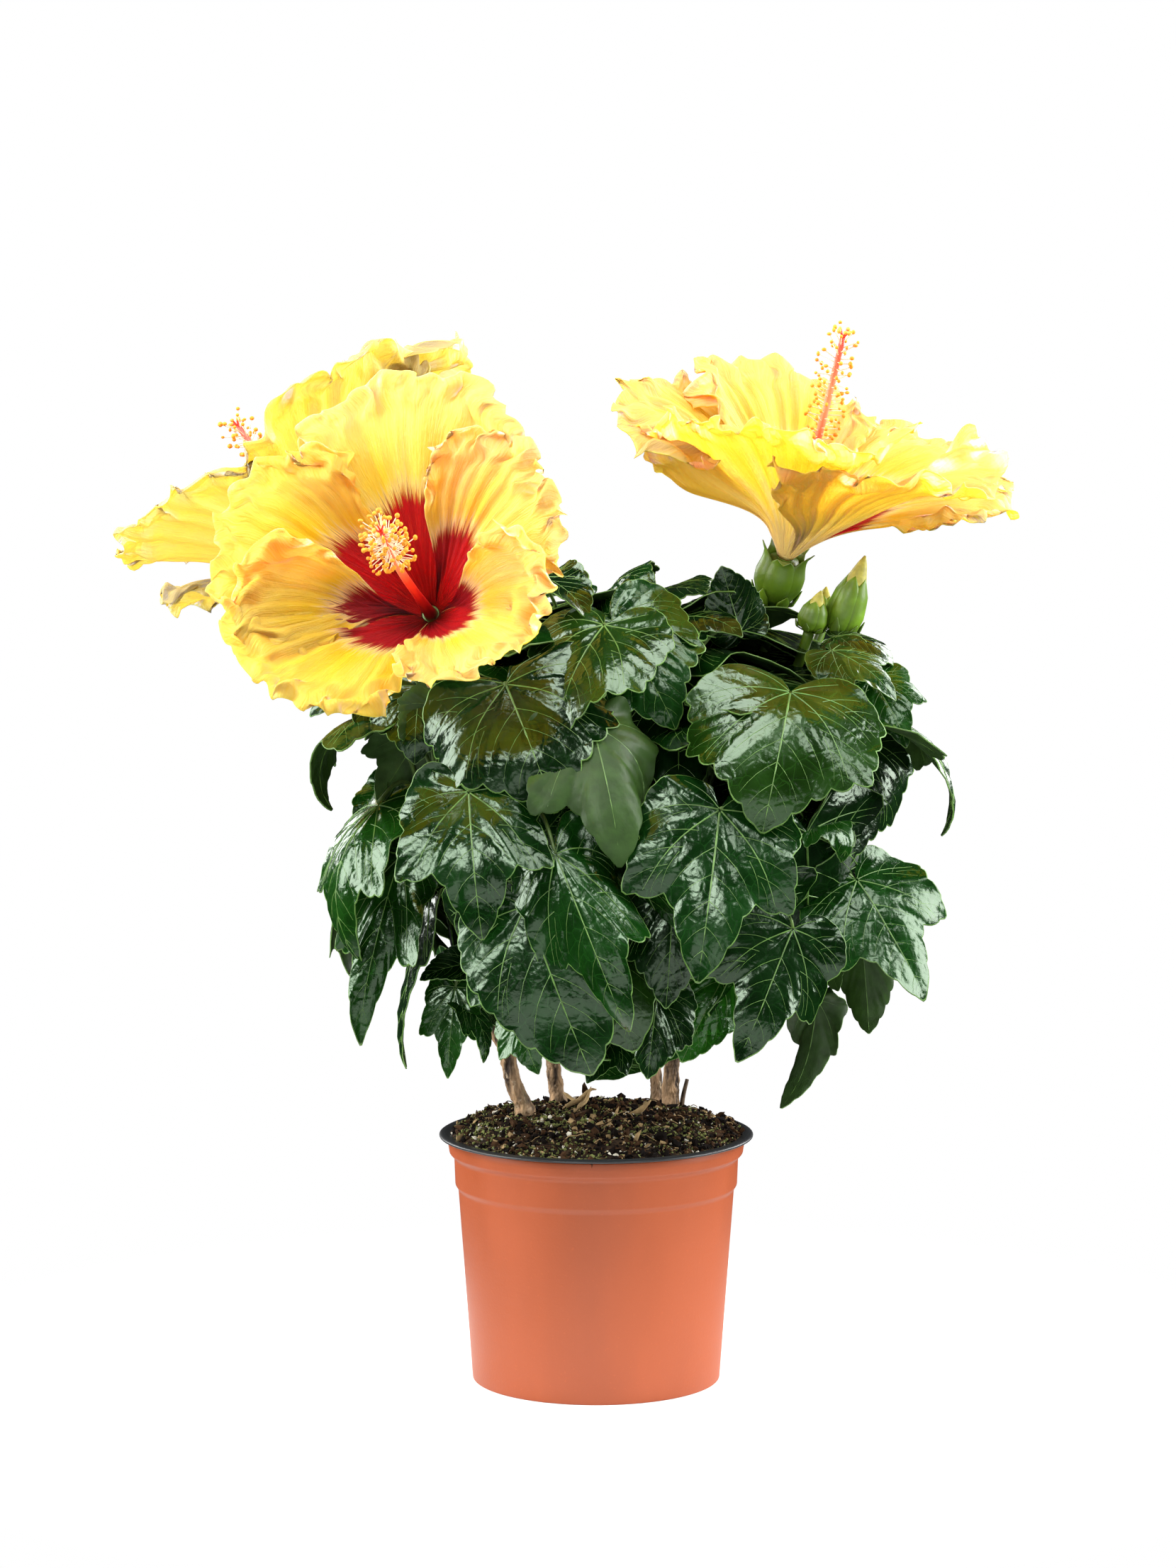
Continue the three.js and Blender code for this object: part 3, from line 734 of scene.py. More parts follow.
        dead = mottled("DeadTwig", (0.104, 0.068, 0.04), 0.85, 300.0, 0.4)
        straws.make("peat_straws", [tones[3], tones[2], tones[1], dead], "peat")


# ---------------------------------------------------------------- stems and boughs


def bark_material(name, colour, green):
    def build(tree, shader, place):
        ridges = noise(tree, place, 300.0, 5.0, stretch=(1, 1, 0.22))
        flakes = noise(tree, place, 420.0, 4.0, stretch=(1, 1, 0.6))
        cracks = noise(tree, place, 120.0, 4.0, stretch=(1, 1, 0.5))
        tone = ramp(tree, ridges, [
            (0.34, (0.028, 0.0144, 0.0072)), (0.43, [c * 0.45 for c in colour]),
            (0.54, colour), (0.68, [min(1, c * 1.5) for c in colour]),
        ])
        tone = mix(tree, spread(tree, flakes, 0.6, 0.7, 0.0, 0.7), tone, rgba((0.496, 0.368, 0.24)))
        tone = mix(tree, spread(tree, cracks, 0.55, 0.72, 0.0, green), tone, (0.12, 0.125, 0.045, 1))
        connect(tree, shader, Base_Color=tone)
        rough = bump(tree, ridges, 0.0018, 1.0)
        rough = bump(tree, flakes, 0.0012, 0.9, rough)
        connect(tree, shader, Normal=bump(tree, cracks, 0.0006, 0.6, rough))
    return new_material(name, colour, 0.82, build)


BOUGH_SEED = 40  # the first bough's seed; the stems' seeds start at 0
STEM_GRID, BOUGH_GRID = (56, 210), (20, 60)  # corners round a limb and rings along it


class HIBISCUS_OT_stems(bpy.types.Operator):
    """Make the stems and boughs with their bark in relief"""

    bl_idname = "hibiscus.stems"
    bl_label = "Stems and boughs"

    def execute(self, context):
        settings = context.scene.hibiscus_wood
        bark = bark_material("Bark", settings.bark, 0.35)
        young = bark_material("BarkYoung", [c * 0.72 for c in settings.bark], 0.9)
        for seed, name in enumerate(STEMS):
            centres, radii = centreline(name, STEM_SIDES)
            slim = 0.82 if "rear" in name else 1.0
            self.limb(name, centres, radii * slim, *STEM_GRID, bark, settings.relief, seed)
        for seed, name in enumerate(BOUGHS):
            centres, radii = centreline(name, BOUGH_SIDES)
            self.limb(name, centres, radii, *BOUGH_GRID, young, settings.relief * 0.6, BOUGH_SEED + seed)
        return {"FINISHED"}

    def limb(self, name, centres, radii, sides, rings, material, depth, seed):
        rng = np.random.default_rng(seed)
        path = smooth_path(centres, rings)
        share = np.linspace(0, 1, rings)
        radius = np.interp(share, np.linspace(0, 1, len(radii)), radii)
        length = np.linalg.norm(np.diff(path, axis=0), axis=1).sum()
        ridges = rng.uniform(0, TURN, 4)
        knots = rng.uniform(0.08, 0.95, max(2, int(length / (11 * MM))))
        turns = rng.uniform(0, TURN, len(knots))
        coarse, flaky = wobble(rng, 3, 14, 6.0), wobble(rng, 3, 14, 17.0)

        def relief(angle, at):
            height = np.full(len(angle), at * length / (6 * MM))
            spot = np.column_stack([np.cos(angle), np.sin(angle), height])
            drift = 1.3 * math.sin(7 * at + ridges[0])
            rib = np.abs(np.sin(4.5 * (angle + 0.35 * drift) + 2.2 * math.sin(9 * at + ridges[1])))
            rib = 0.6 * rib + 0.4 * np.sin(11 * angle + ridges[2] + 5 * math.sin(14 * at + ridges[3])) ** 2
            swell = np.zeros_like(angle)
            for place, turn in zip(knots, turns):
                near = math.exp(-(((at - place) * length / (1.8 * MM)) ** 2))
                swell += near * (0.03 + 0.2 * np.maximum(0, np.cos(angle - turn)) ** 3)
            crust = depth * (0.5 * coarse(spot) + 0.3 * flaky(spot))
            return 1 - depth * 0.5 + depth * rib + crust + swell * (1 if depth > 0.08 else 0.6)

        limb = Gather()
        limb.tube(path, radius, sides, relief=relief)
        limb.make(name + "_bark", [material], "bark", [name])


# ---------------------------------------------------------------- leaves

FAN = 2.7  # half angle of a leaf's blade about its stalk, in radians
BLADE = 0.5 * MM  # thickness
# Radius of the blade at shares of the fan, from the tip (0) round to the notch at the stalk (1).
OUTLINES = {
    "ovate": ((0, 0.04, 0.1, 0.2, 0.32, 0.46, 0.62, 0.8, 1),
              (1, 0.92, 0.8, 0.66, 0.56, 0.48, 0.41, 0.31, 0.12)),
    "lobed": ((0, 0.04, 0.09, 0.135, 0.175, 0.225, 0.27, 0.315, 0.37, 0.43, 0.49, 0.55, 0.7, 0.86, 1),
              (1, 0.87, 0.72, 0.61, 0.58, 0.66, 0.74, 0.67, 0.55, 0.48, 0.51, 0.47, 0.38, 0.28, 0.12)),
    "broad": ((0, 0.04, 0.1, 0.17, 0.24, 0.3, 0.37, 0.46, 0.53, 0.66, 0.84, 1),
              (1, 0.91, 0.79, 0.72, 0.73, 0.76, 0.66, 0.6, 0.6, 0.48, 0.34, 0.14)),
    "slim": ((0, 0.035, 0.08, 0.14, 0.19, 0.25, 0.33, 0.45, 0.7, 1),
             (1, 0.86, 0.68, 0.52, 0.47, 0.5, 0.4, 0.33, 0.25, 0.1)),
}
# Veins of one half: angle and share where each starts, angle and share where it ends, width.
VEINS = (
    (0.00, 0.02, 0.00, 0.97, 1.0), (0.62, 0.02, 0.66, 0.93, 0.8), (1.35, 0.02, 1.42, 0.9, 0.65),
    (2.05, 0.02, 2.15, 0.84, 0.45), (0.00, 0.22, 0.46, 0.88, 0.5), (0.00, 0.38, 0.33, 0.92, 0.45),
    (0.00, 0.53, 0.22, 0.93, 0.4), (0.00, 0.67, 0.14, 0.94, 0.35), (0.00, 0.8, 0.07, 0.96, 0.3),
    (0.64, 0.26, 1.08, 0.88, 0.4), (0.64, 0.45, 0.93, 0.92, 0.35), (0.64, 0.64, 0.8, 0.94, 0.3),
    (0.64, 0.5, 0.54, 0.9, 0.3), (0.64, 0.7, 0.59, 0.95, 0.25), (1.38, 0.32, 1.78, 0.86, 0.3),
    (1.38, 0.55, 1.62, 0.92, 0.25), (1.38, 0.4, 1.18, 0.88, 0.3), (1.38, 0.62, 1.29, 0.94, 0.25),
)


def outline_radius(name, angle, teeth, count):
    """Distance from the stalk to the toothed margin, for a leaf of length 1."""
    stations, radii = OUTLINES[name]
    dense = np.linspace(-1, 1, 241)
    shape = np.interp(np.abs(dense), stations, radii)
    kernel = np.exp(-((np.arange(-4, 5) / 1.9) ** 2))
    padded = np.pad(shape, 4, mode="edge")
    shape = np.convolve(padded, kernel / kernel.sum(), mode="valid")
    shape = np.maximum(shape, np.interp(np.abs(dense), (0, 0.02, 0.03), (1, 0.9, 0)))
    share = np.abs(angle) / FAN
    scallop = np.abs(np.sin(count * share**0.72 * math.pi + 0.6)) ** 0.7 - 0.62
    fade = np.interp(share, (0, 0.05, 0.12, 0.5, 0.8, 1), (0, 0.5, 1, 0.9, 0.35, 0.1))
    return np.interp(angle / FAN, dense, shape) * (1 + teeth * scallop * fade)


class LeafForm:
    """A flat leaf of length 1 with its veins, ready to be bent and placed many times."""

    def __init__(self, name, teeth, count, across, along):
        self.radius = lambda angle: outline_radius(name, angle, teeth, count)
        sheet = two_sided_sheet(across, along, polar=FAN)
        # The last ring is narrow: it is the pale margin of the blade.
        angle, ring = sheet["across"], sheet["along"] * along / (along - 1)
        share = np.where(sheet["along"] > 0.999, 1.0, 0.988 * np.minimum(1, ring) ** 0.85)
        reach = share * self.radius(angle)
        self.lines = list(self.vein_lines())
        flat = np.column_stack([reach * np.sin(angle), reach * np.cos(angle)])
        self.angle, self.share, self.side = angle, share, sheet["side"]
        self.extra = np.zeros(len(angle))
        self.bulge = self.bulge_at(flat)
        self.flat = flat
        self.faces = list(sheet["faces"])
        kinds = sheet["kinds"]
        margin = np.array([sheet["along"][list(face)].mean() for face in sheet["faces"]]) > 1 - 0.6 / along
        self.kinds = np.where((kinds == 1) & ~margin, 0, np.where(kinds == -1, 1, 2)).tolist()
        for points, width, main in self.lines:
            self.add_vein(points, width, 1.0)
            if main:
                self.add_vein(points, width * 1.3, -1.0)
        self.kinds = np.array(self.kinds)

    def vein_lines(self):
        for start_angle, start, end_angle, end, width in VEINS:
            for half in (1,) if start_angle == end_angle == 0 else (1, -1):
                a, b = half * start_angle, half * end_angle
                first = start * self.radius(np.array([a]))[0] * np.array((math.sin(a), math.cos(a)))
                last = end * self.radius(np.array([b]))[0] * np.array((math.sin(b), math.cos(b)))
                t = np.linspace(0, 1, 8 if start < 0.1 else 5)[:, None]
                across = np.array((last[1] - first[1], first[0] - last[0]))
                bow = 0.07 * half * np.sin(math.pi * t) * across * (start_angle != 0 or start > 0.1)
                yield first + (last - first) * t + bow, width * 0.007, start < 0.1

    def bulge_at(self, flat):
        """How far the blade stands up between its veins, 0 on a vein and 1 well away from all."""
        nearest = np.full(len(flat), 9.0)
        for points, _, _ in self.lines:
            for a, b in zip(points, points[1:]):
                run = b - a
                t = np.clip(((flat - a) @ run) / (run @ run), 0, 1)
                nearest = np.minimum(nearest, np.linalg.norm(flat - a - t[:, None] * run, axis=1))
        return 1 - np.exp(-((nearest / 0.062) ** 2))

    def add_vein(self, points, width, side):
        """A low ridge along a vein, three corners across."""
        run = np.gradient(points, axis=0)
        run /= np.linalg.norm(run, axis=1)[:, None]
        across = np.column_stack([run[:, 1], -run[:, 0]])
        taper = np.linspace(1, 0.35, len(points))[:, None] * width
        start = len(self.flat)
        rows = np.stack([points - across * taper, points, points + across * taper], axis=1)
        flat = rows.reshape(-1, 2)
        sunk = np.full(len(points), -0.002)
        lift = np.stack([sunk, 0.9 * taper[:, 0], sunk], axis=1)
        angle = np.arctan2(flat[:, 0], flat[:, 1])
        share = np.hypot(flat[:, 0], flat[:, 1]) / self.radius(angle)
        centre = np.repeat(self.bulge_at(points), 3)
        self.flat = np.vstack([self.flat, flat])
        self.angle = np.append(self.angle, angle)
        self.share = np.append(self.share, share)
        self.side = np.append(self.side, np.full(len(flat), side))
        self.extra = np.append(self.extra, lift.ravel())
        self.bulge = np.append(self.bulge, centre + 0.12)
        for k in range(len(points) - 1):
            for c in range(2):
                a = start + 3 * k + c
                quad = (a, a + 1, a + 4, a + 3)
                self.faces.append(quad[::-1] if side > 0 else quad)
                self.kinds.append(2)

    def bent(self, length, bend):
        """Corners of the leaf, in units of its length: x across, y along, z up from its upper side."""
        x, y = self.flat.T * np.array((bend["width"], 1))[:, None]
        edge = self.share**3.2
        z = bend["quilt"] * self.bulge + self.side * (BLADE / 2 / length + self.extra)
        z = z + bend["ruffle"] * edge * np.sin(bend["waves"] * self.angle + bend["phase"])
        z = z + bend["billow"] * np.sin(7.0 * x + bend["phase"]) * np.sin(6.0 * y + 1.7 * bend["phase"])
        z = z + bend["fold"] * (np.sqrt(x * x + 0.002) - 0.045)
        curl = bend["curl"] * (1 + 0.6 * bend["skew"] * np.sign(x)) * (0.6 + 0.6 * np.clip(y, 0, 1))
        curl = np.where(np.abs(curl) < 0.05, 0.05, curl)
        turn = curl * x
        x, z = np.sin(turn) / curl + z * np.sin(turn), -(1 - np.cos(turn)) / curl + z * np.cos(turn)
        twist = bend["twist"] * np.clip(y, -0.2, 1)
        x, z = x * np.cos(twist) + z * np.sin(twist), z * np.cos(twist) - x * np.sin(twist)
        steps = np.linspace(-0.5, 1.1, 81)
        angle = bend["droop"] * steps + 3.2 * bend["hook"] * np.clip(steps - 0.45, 0, 1) ** 2
        run = steps[1] - steps[0]
        ys, zs = np.cumsum(np.cos(angle)) * run, -np.cumsum(np.sin(angle)) * run
        ys, zs = ys - np.interp(0, steps, ys), zs - np.interp(0, steps, zs)
        slope = np.interp(y, steps, angle)
        along = np.interp(y, steps, ys) + z * np.sin(slope)
        above = np.interp(y, steps, zs) + z * np.cos(slope)
        tip = (np.interp(1, steps, ys), np.interp(1, steps, zs))
        return np.column_stack([x, along, above]), tip


def make_forms(across, along):
    """One form of each outline: its name, the depth of its teeth, and how many there are on a side."""
    count = 13 if across > 100 else 8
    teeth = {"ovate": 0.05, "lobed": 0.06, "broad": 0.065, "slim": 0.07}
    return {name: LeafForm(name, depth, count - 3 * (name == "slim"), across, along)
            for name, depth in teeth.items()}


def place_leaf(gather, form, attach, tip, face, bend, tint):
    """Adds a leaf that hangs from attach to tip, its upper side towards face."""
    attach, tip = np.asarray(attach, float), np.asarray(tip, float)
    chord = np.linalg.norm(tip - attach)
    shape, end = form.bent(chord, bend)
    size = chord / math.hypot(*end)
    forward = unit(tip - attach)
    upper = unit(face - (face @ forward) * forward)
    lean = math.atan2(end[1], end[0])
    along = forward * math.cos(lean) - upper * math.sin(lean)
    above = forward * math.sin(lean) + upper * math.cos(lean)
    across = np.cross(along, above)
    points = attach + size * (shape @ np.array([across, along, above]))
    uppers, unders = len(LEAF_TINTS_AND_SHADE), len(UNDER_TINTS_AND_SHADE)
    slots = np.choose(form.kinds, (tint % uppers, uppers + tint % unders, uppers + unders))
    gather.add(points, form.faces, slots)


# Each tint scales the upper side's red, green and blue; olive and lighter leaves stand among dark ones.
# The dark tint 2 is painted shade on leaves deep in the crown; the olive tint 4 is partly a painted
# reflection of the front bloom's yellow.
LEAF_TINTS_AND_SHADE = (
    (1, 1, 1), (1.5, 1.4, 1.2), (0.55, 0.6, 0.55), (2.3, 1.75, 1.2), (3.0, 1.35, 1.0), (6.0, 4.7, 2.5),
)
NET_COLOUR = (0.004, 0.0144, 0.0032)  # what the net of fine veins adds to the upper side
# The two darker underside tints are painted shade on undersides seen in shadow.
UNDER_TINTS_AND_SHADE = ((1, 1, 1), (0.5, 0.58, 0.34), (0.42, 0.46, 0.36))
PLAIN_TINTS = (0, 1, 2, 0, 3, 1, 2, 0, 4)

# The leaves that lead the crown's front and sides: stalk end and tip in mm, the way the upper side
# faces, outline, tint, and what sets its bend apart. A leaf that faces +Y shows its underside in front.
LEADING_LEAVES = (
    ((-28, -92, 209), (-1, -97, 140), (-0.1, -1, 0.2), "ovate", 0,
     {"curl": 0.7, "droop": 0.25, "width": 0.9}),
    ((-16, -97, 230), (13, -101, 158), (-0.1, -1, 0.35), "lobed", 1,
     {"fold": -0.5, "curl": 1.4, "hook": 0.7, "width": 0.62, "twist": 0.25}),
    ((-50, -90, 254), (-44, -104, 194), (-0.1, -1, 0.4), "lobed", 0,
     {"curl": 1.1, "droop": 0.6, "width": 0.92}),
    ((-36, -72, 295), (-15, -93, 243), (-0.15, -0.85, 0.6), "broad", 2,
     {"curl": 1.3, "droop": 0.9, "width": 1.05}),
    # Olive tint 4 on this leaf and the big one at the right: a painted reflection of the front bloom's
    # yellow.
    ((3, -60, 317), (-15, -84, 272), (-0.35, -0.65, 0.75), "broad", 4, {"curl": 1.2, "droop": 0.7}),
    ((6, -50, 318), (32, -66, 275), (0.1, -1, 0.3), "broad", 1, {"curl": 0.6, "droop": 0.4, "width": 0.9}),
    ((-2, -84, 279), (8, -99, 225), (-0.3, 1, 0.1), "lobed", 1,
     {"curl": -1.9, "droop": -0.3, "hook": -0.8, "width": 1.05}),
    # Olive tint 4: a painted reflection of the front bloom's yellow.
    ((76, -74, 291), (64, -99, 237), (0.1, -0.8, 0.65), "broad", 4,
     {"curl": 1.1, "droop": 0.9, "width": 1.06}),
    ((48, -92, 247), (39, -105, 180), (0.05, -1, 0.35), "lobed", 0,
     {"curl": 1.0, "droop": 0.5, "width": 0.95}),
    ((77, -84, 199), (54, -94, 148), (0.2, -1, 0.3), "lobed", 2,
     {"curl": 1.1, "droop": 0.5, "width": 0.85}),
    ((55, -56, 184), (33, -62, 141), (-0.15, -1, 0.1), "ovate", 5,
     {"curl": 0.3, "droop": 0.2, "width": 0.75}),
    ((24, -74, 172), (20, -80, 138), (0, -1, 0.3), "broad", 2, {"curl": 1.0, "droop": 0.4, "width": 0.8}),
    ((30, -76, 216), (27, -84, 166), (0.1, -1, 0.1), "broad", 2,
     {"curl": 1.1, "droop": 0.3, "width": 0.75}),
    ((8, -44, 150), (-4, -54, 132), (-0.1, -1, 0.3), "lobed", 2, {"curl": 0.8}),
    ((-31, -58, 160), (-23, -64, 137), (-0.3, -1, 0.2), "lobed", 3, {"curl": 1.0}),
    # left side
    ((-86, -36, 279), (-105, -46, 241), (-1, -0.25, 0.6), "lobed", 1,
     {"curl": 1.2, "droop": 2.1, "twist": 0.5}),
    ((-88, -40, 244), (-96, -50, 177), (-0.75, -0.65, 0.2), "lobed", 3,
     {"curl": 0.8, "fold": -0.25, "droop": 1.3, "width": 0.6}),
    ((-78, -38, 222), (-94, -48, 147), (-0.45, -0.9, 0.2), "lobed", 3,
     {"width": 0.45, "curl": 1.2, "twist": -0.4}),
    ((-66, -34, 208), (-73, -42, 136), (-0.9, -0.3, 0.1), "slim", 2,
     {"width": 0.7, "curl": 2.2, "twist": 0.3}),
    ((-57, -38, 169), (-60, -44, 132), (-0.1, -1, 0.1), "lobed", 3,
     {"width": 0.65, "curl": 0.6, "droop": 0.3}),
    ((-50, -36, 179), (-71, -42, 172), (-0.1, -0.8, 0.6), "ovate", 2, {"curl": -1.6, "width": 0.8}),
    ((-54, -36, 167), (-44, -42, 137), (0.5, -1, 0.2), "lobed", 1,
     {"width": 0.5, "curl": 1.6, "droop": 1.0}),
    ((-72, -26, 270), (-89, -34, 244), (0.3, 1, 0.1), "lobed", 0, {"curl": -0.8, "width": 1.1}),
    ((-80, -22, 248), (-89, -30, 215), (-0.3, -1, 0.2), "ovate", 3, {"curl": 0.6, "droop": 0.3}),
    ((-86, -42, 290), (-114, -50, 279), (-0.1, -0.7, 0.8), "lobed", 2, {"curl": 1.6, "droop": 1.1}),
    ((-62, -60, 284), (-79, -66, 272), (0.2, 0.9, 0.3), "broad", 1, {"curl": -1.2}),
    ((-70, -54, 292), (-72, -66, 261), (-0.1, -1, 0.3), "broad", 2, {"curl": 1.2}),
    # right side
    ((94, -40, 305), (119, -50, 285), (0.3, -0.6, 0.8), "lobed", 1, {"curl": 1.1, "droop": 0.7}),
    ((97, -26, 310), (119, -30, 298), (0.1, -0.3, 1), "broad", 2, {"curl": 1.4, "droop": 1.0}),
    ((110, -36, 294), (124, -46, 266), (0.4, -1, 0.3), "lobed", 3, {"curl": 0.8, "droop": 0.5}),
    ((101, -40, 278), (138, -46, 230), (0.9, -0.3, 0.75), "lobed", 1,
     {"width": 0.75, "curl": 1.3, "droop": 2.0, "twist": -0.6}),
    ((101, -34, 270), (93, -46, 216), (0.35, -1, 0.3), "broad", 2, {"curl": 1.3, "droop": 0.6}),
    ((82, -54, 242), (98, -62, 221), (0.6, -0.6, 0.6), "lobed", 3, {"curl": 1.5, "droop": 1.9}),
    ((104, -46, 213), (129, -54, 166), (0.3, -1, 0.5), "lobed", 1,
     {"curl": 0.9, "droop": 0.7, "width": 1.1}),
    ((107, -36, 191), (110, -42, 150), (0.1, 1, 0.1), "ovate", 1, {"width": 0.7, "curl": -0.8}),
    ((84, -46, 200), (97, -50, 169), (0.1, 1, 0), "ovate", 1, {"width": 0.7, "curl": -0.8}),
    ((90, -38, 164), (76, -44, 117), (0.5, 0.9, 0.1), "slim", 2,
     {"width": 0.75, "curl": -0.9, "twist": 0.3}),
    # top
    ((58, -26, 312), (50, -32, 339), (0.1, -1, 0.3), "ovate", 2, {"curl": 0.8, "droop": -0.3}),
    ((-22, -34, 334), (-4, -52, 318), (0.3, -0.7, 0.8), "ovate", 2,
     {"curl": -1.0, "droop": 0.7, "hook": 0.6}),
    ((4, 0, 326), (24, -24, 332), (-0.3, -0.5, 1), "broad", 1, {"curl": 1.6, "droop": 0.9}),
    ((24, -6, 326), (48, -24, 324), (0, -0.35, 1), "broad", 1, {"curl": 0.9, "droop": 0.9}),
    ((34, -30, 318), (58, -46, 310), (0.1, -0.5, 0.9), "lobed", 2, {"curl": 1.0, "droop": 0.8}),
    ((-6, 20, 326), (-34, 26, 324), (-0.2, -0.2, 1), "ovate", 1, {"curl": 0.9, "droop": 0.9}),
)
# How far the crown reaches to the left and to the right at each height, seen from the front, in mm.
REACH_HEIGHTS = (120, 140, 165, 180, 200, 220, 240, 260, 280, 295, 310, 325, 340)
REACH_LEFT = (-28, -42, -46, -50, -62, -76, -80, -82, -90, -94, -84, -60, -45)
REACH_RIGHT = (35, 50, 76, 86, 96, 98, 104, 110, 114, 114, 102, 66, 52)
REACH_PLANE = -0.045  # the depth at which that holds
CROWN_TOP = 0.338
EYE = np.array((-0.0034, -1.712, 0.417))  # where the front is seen from
# The space kept clear at a bloom: how far below its base and beyond its petals it reaches, how steeply
# the petals rise, and how far below that slope it begins.
BLOOM_FOOT, BLOOM_MARGIN, PETAL_SLOPE, BLOOM_SAG = -4 * MM, 6 * MM, 0.42, 10 * MM
# Corners across and along a blade, for leading, outer and inner leaves.
FORM_CORNERS = ((121, 13), (67, 9), (37, 5))
TRIES = 16  # places drawn for each leaf that is wanted
SPACING = 17 * MM  # least distance between the middles of two grown leaves
LEAF_AREA, SKIRT_LEAF_AREA = 0.0013, 0.0016  # a mass's surface for each of its leaves, in square metres
LOWEST_TIP, FRONT_LIMIT = 140 * MM, -80 * MM  # how low and how far to the front a grown leaf may reach
GAP_SITES, GAP_SIZE = 900, 22 * MM  # how many places are looked at, and how wide a gap is
GAP_FRONT, GAP_FOOT = -34 * MM, 160 * MM  # gaps further to the front or lower than this stay open


class Crown:
    """What the growing rule needs to know about the plant."""

    def __init__(self):
        boxes = [node_box(name) for name in MASSES]
        low = np.min([centre - half for centre, half in boxes], axis=0)
        high = np.max([centre + half for centre, half in boxes], axis=0)
        self.centre, self.half = (low + high) / 2, (high - low) / 2
        self.centre[2] -= 0.08 * self.half[2]
        self.lumps = dict(zip(MASSES, boxes))
        self.blooms = [bloom_plan(name) for name in BLOOMS]
        self.limbs = []
        for name in STEMS:
            path = smooth_path(centreline(name, STEM_SIDES)[0], 12)
            self.limbs.append(path[len(path) // 2:])
        for name in BOUGHS:
            self.limbs.append(smooth_path(centreline(name, BOUGH_SIDES)[0], 12)[4:])
        self.middles = []

    def outward(self, point):
        return unit((point - self.centre) / self.half**2)

    def down_slope(self, normal):
        level = np.array((normal[0], normal[1], 0.0))
        return unit(-UP + normal[2] * normal + 0.75 * level * max(0.0, normal[2]))

    def in_bloom(self, point):
        for bloom in self.blooms:
            away = point - bloom["base"]
            height = away @ bloom["axis"]
            if height < BLOOM_FOOT:
                continue
            radius = np.linalg.norm(away - height * bloom["axis"])
            largest = max(petal["radius"] for petal in bloom["petals"]) + BLOOM_MARGIN
            if radius < largest and height > radius * PETAL_SLOPE - BLOOM_SAG:
                return True
        return False

    def in_foliage(self, point, swell):
        lumps = self.lumps.values()
        return any((((point - centre) / (half * swell)) ** 2).sum() < 1 for centre, half in lumps)

    def in_outline(self, point):
        """Whether a place lies within the crown's outline, seen from the front."""
        near = EYE + (point - EYE) * (REACH_PLANE - EYE[1]) / (point[1] - EYE[1])
        left, right = (np.interp(near[2] / MM, REACH_HEIGHTS, reach) for reach in (REACH_LEFT, REACH_RIGHT))
        return left < near[0] / MM < right and near[2] < CROWN_TOP

    def crowded(self, middle):
        return any(np.linalg.norm(middle - other) < SPACING for other in self.middles)

    def nearest_limb(self, point):
        points = np.concatenate(self.limbs)
        below = points + np.array((0, 0, 12 * MM))
        return points[np.linalg.norm(below - point, axis=1).argmin()]


def random_bend(rng, droop=0.6, curl=1.0):
    """What bends a leaf: heights as shares of its length, waves in turns, and angles in radians."""
    return {
        "quilt": rng.uniform(0.013, 0.021),
        "ruffle": rng.uniform(0.03, 0.07),
        "billow": rng.uniform(0.012, 0.03),
        "waves": rng.uniform(3.0, 6.5),
        "phase": rng.uniform(0, TURN),
        "fold": rng.uniform(-0.05, 0.14),
        "curl": curl + rng.normal(0, 0.35),
        "skew": rng.uniform(-0.6, 0.6),
        "twist": rng.normal(0, 0.25),
        "droop": droop + rng.normal(0, 0.15),
        "hook": rng.uniform(0.1, 0.7),
        "width": rng.uniform(0.85, 1.1),
    }


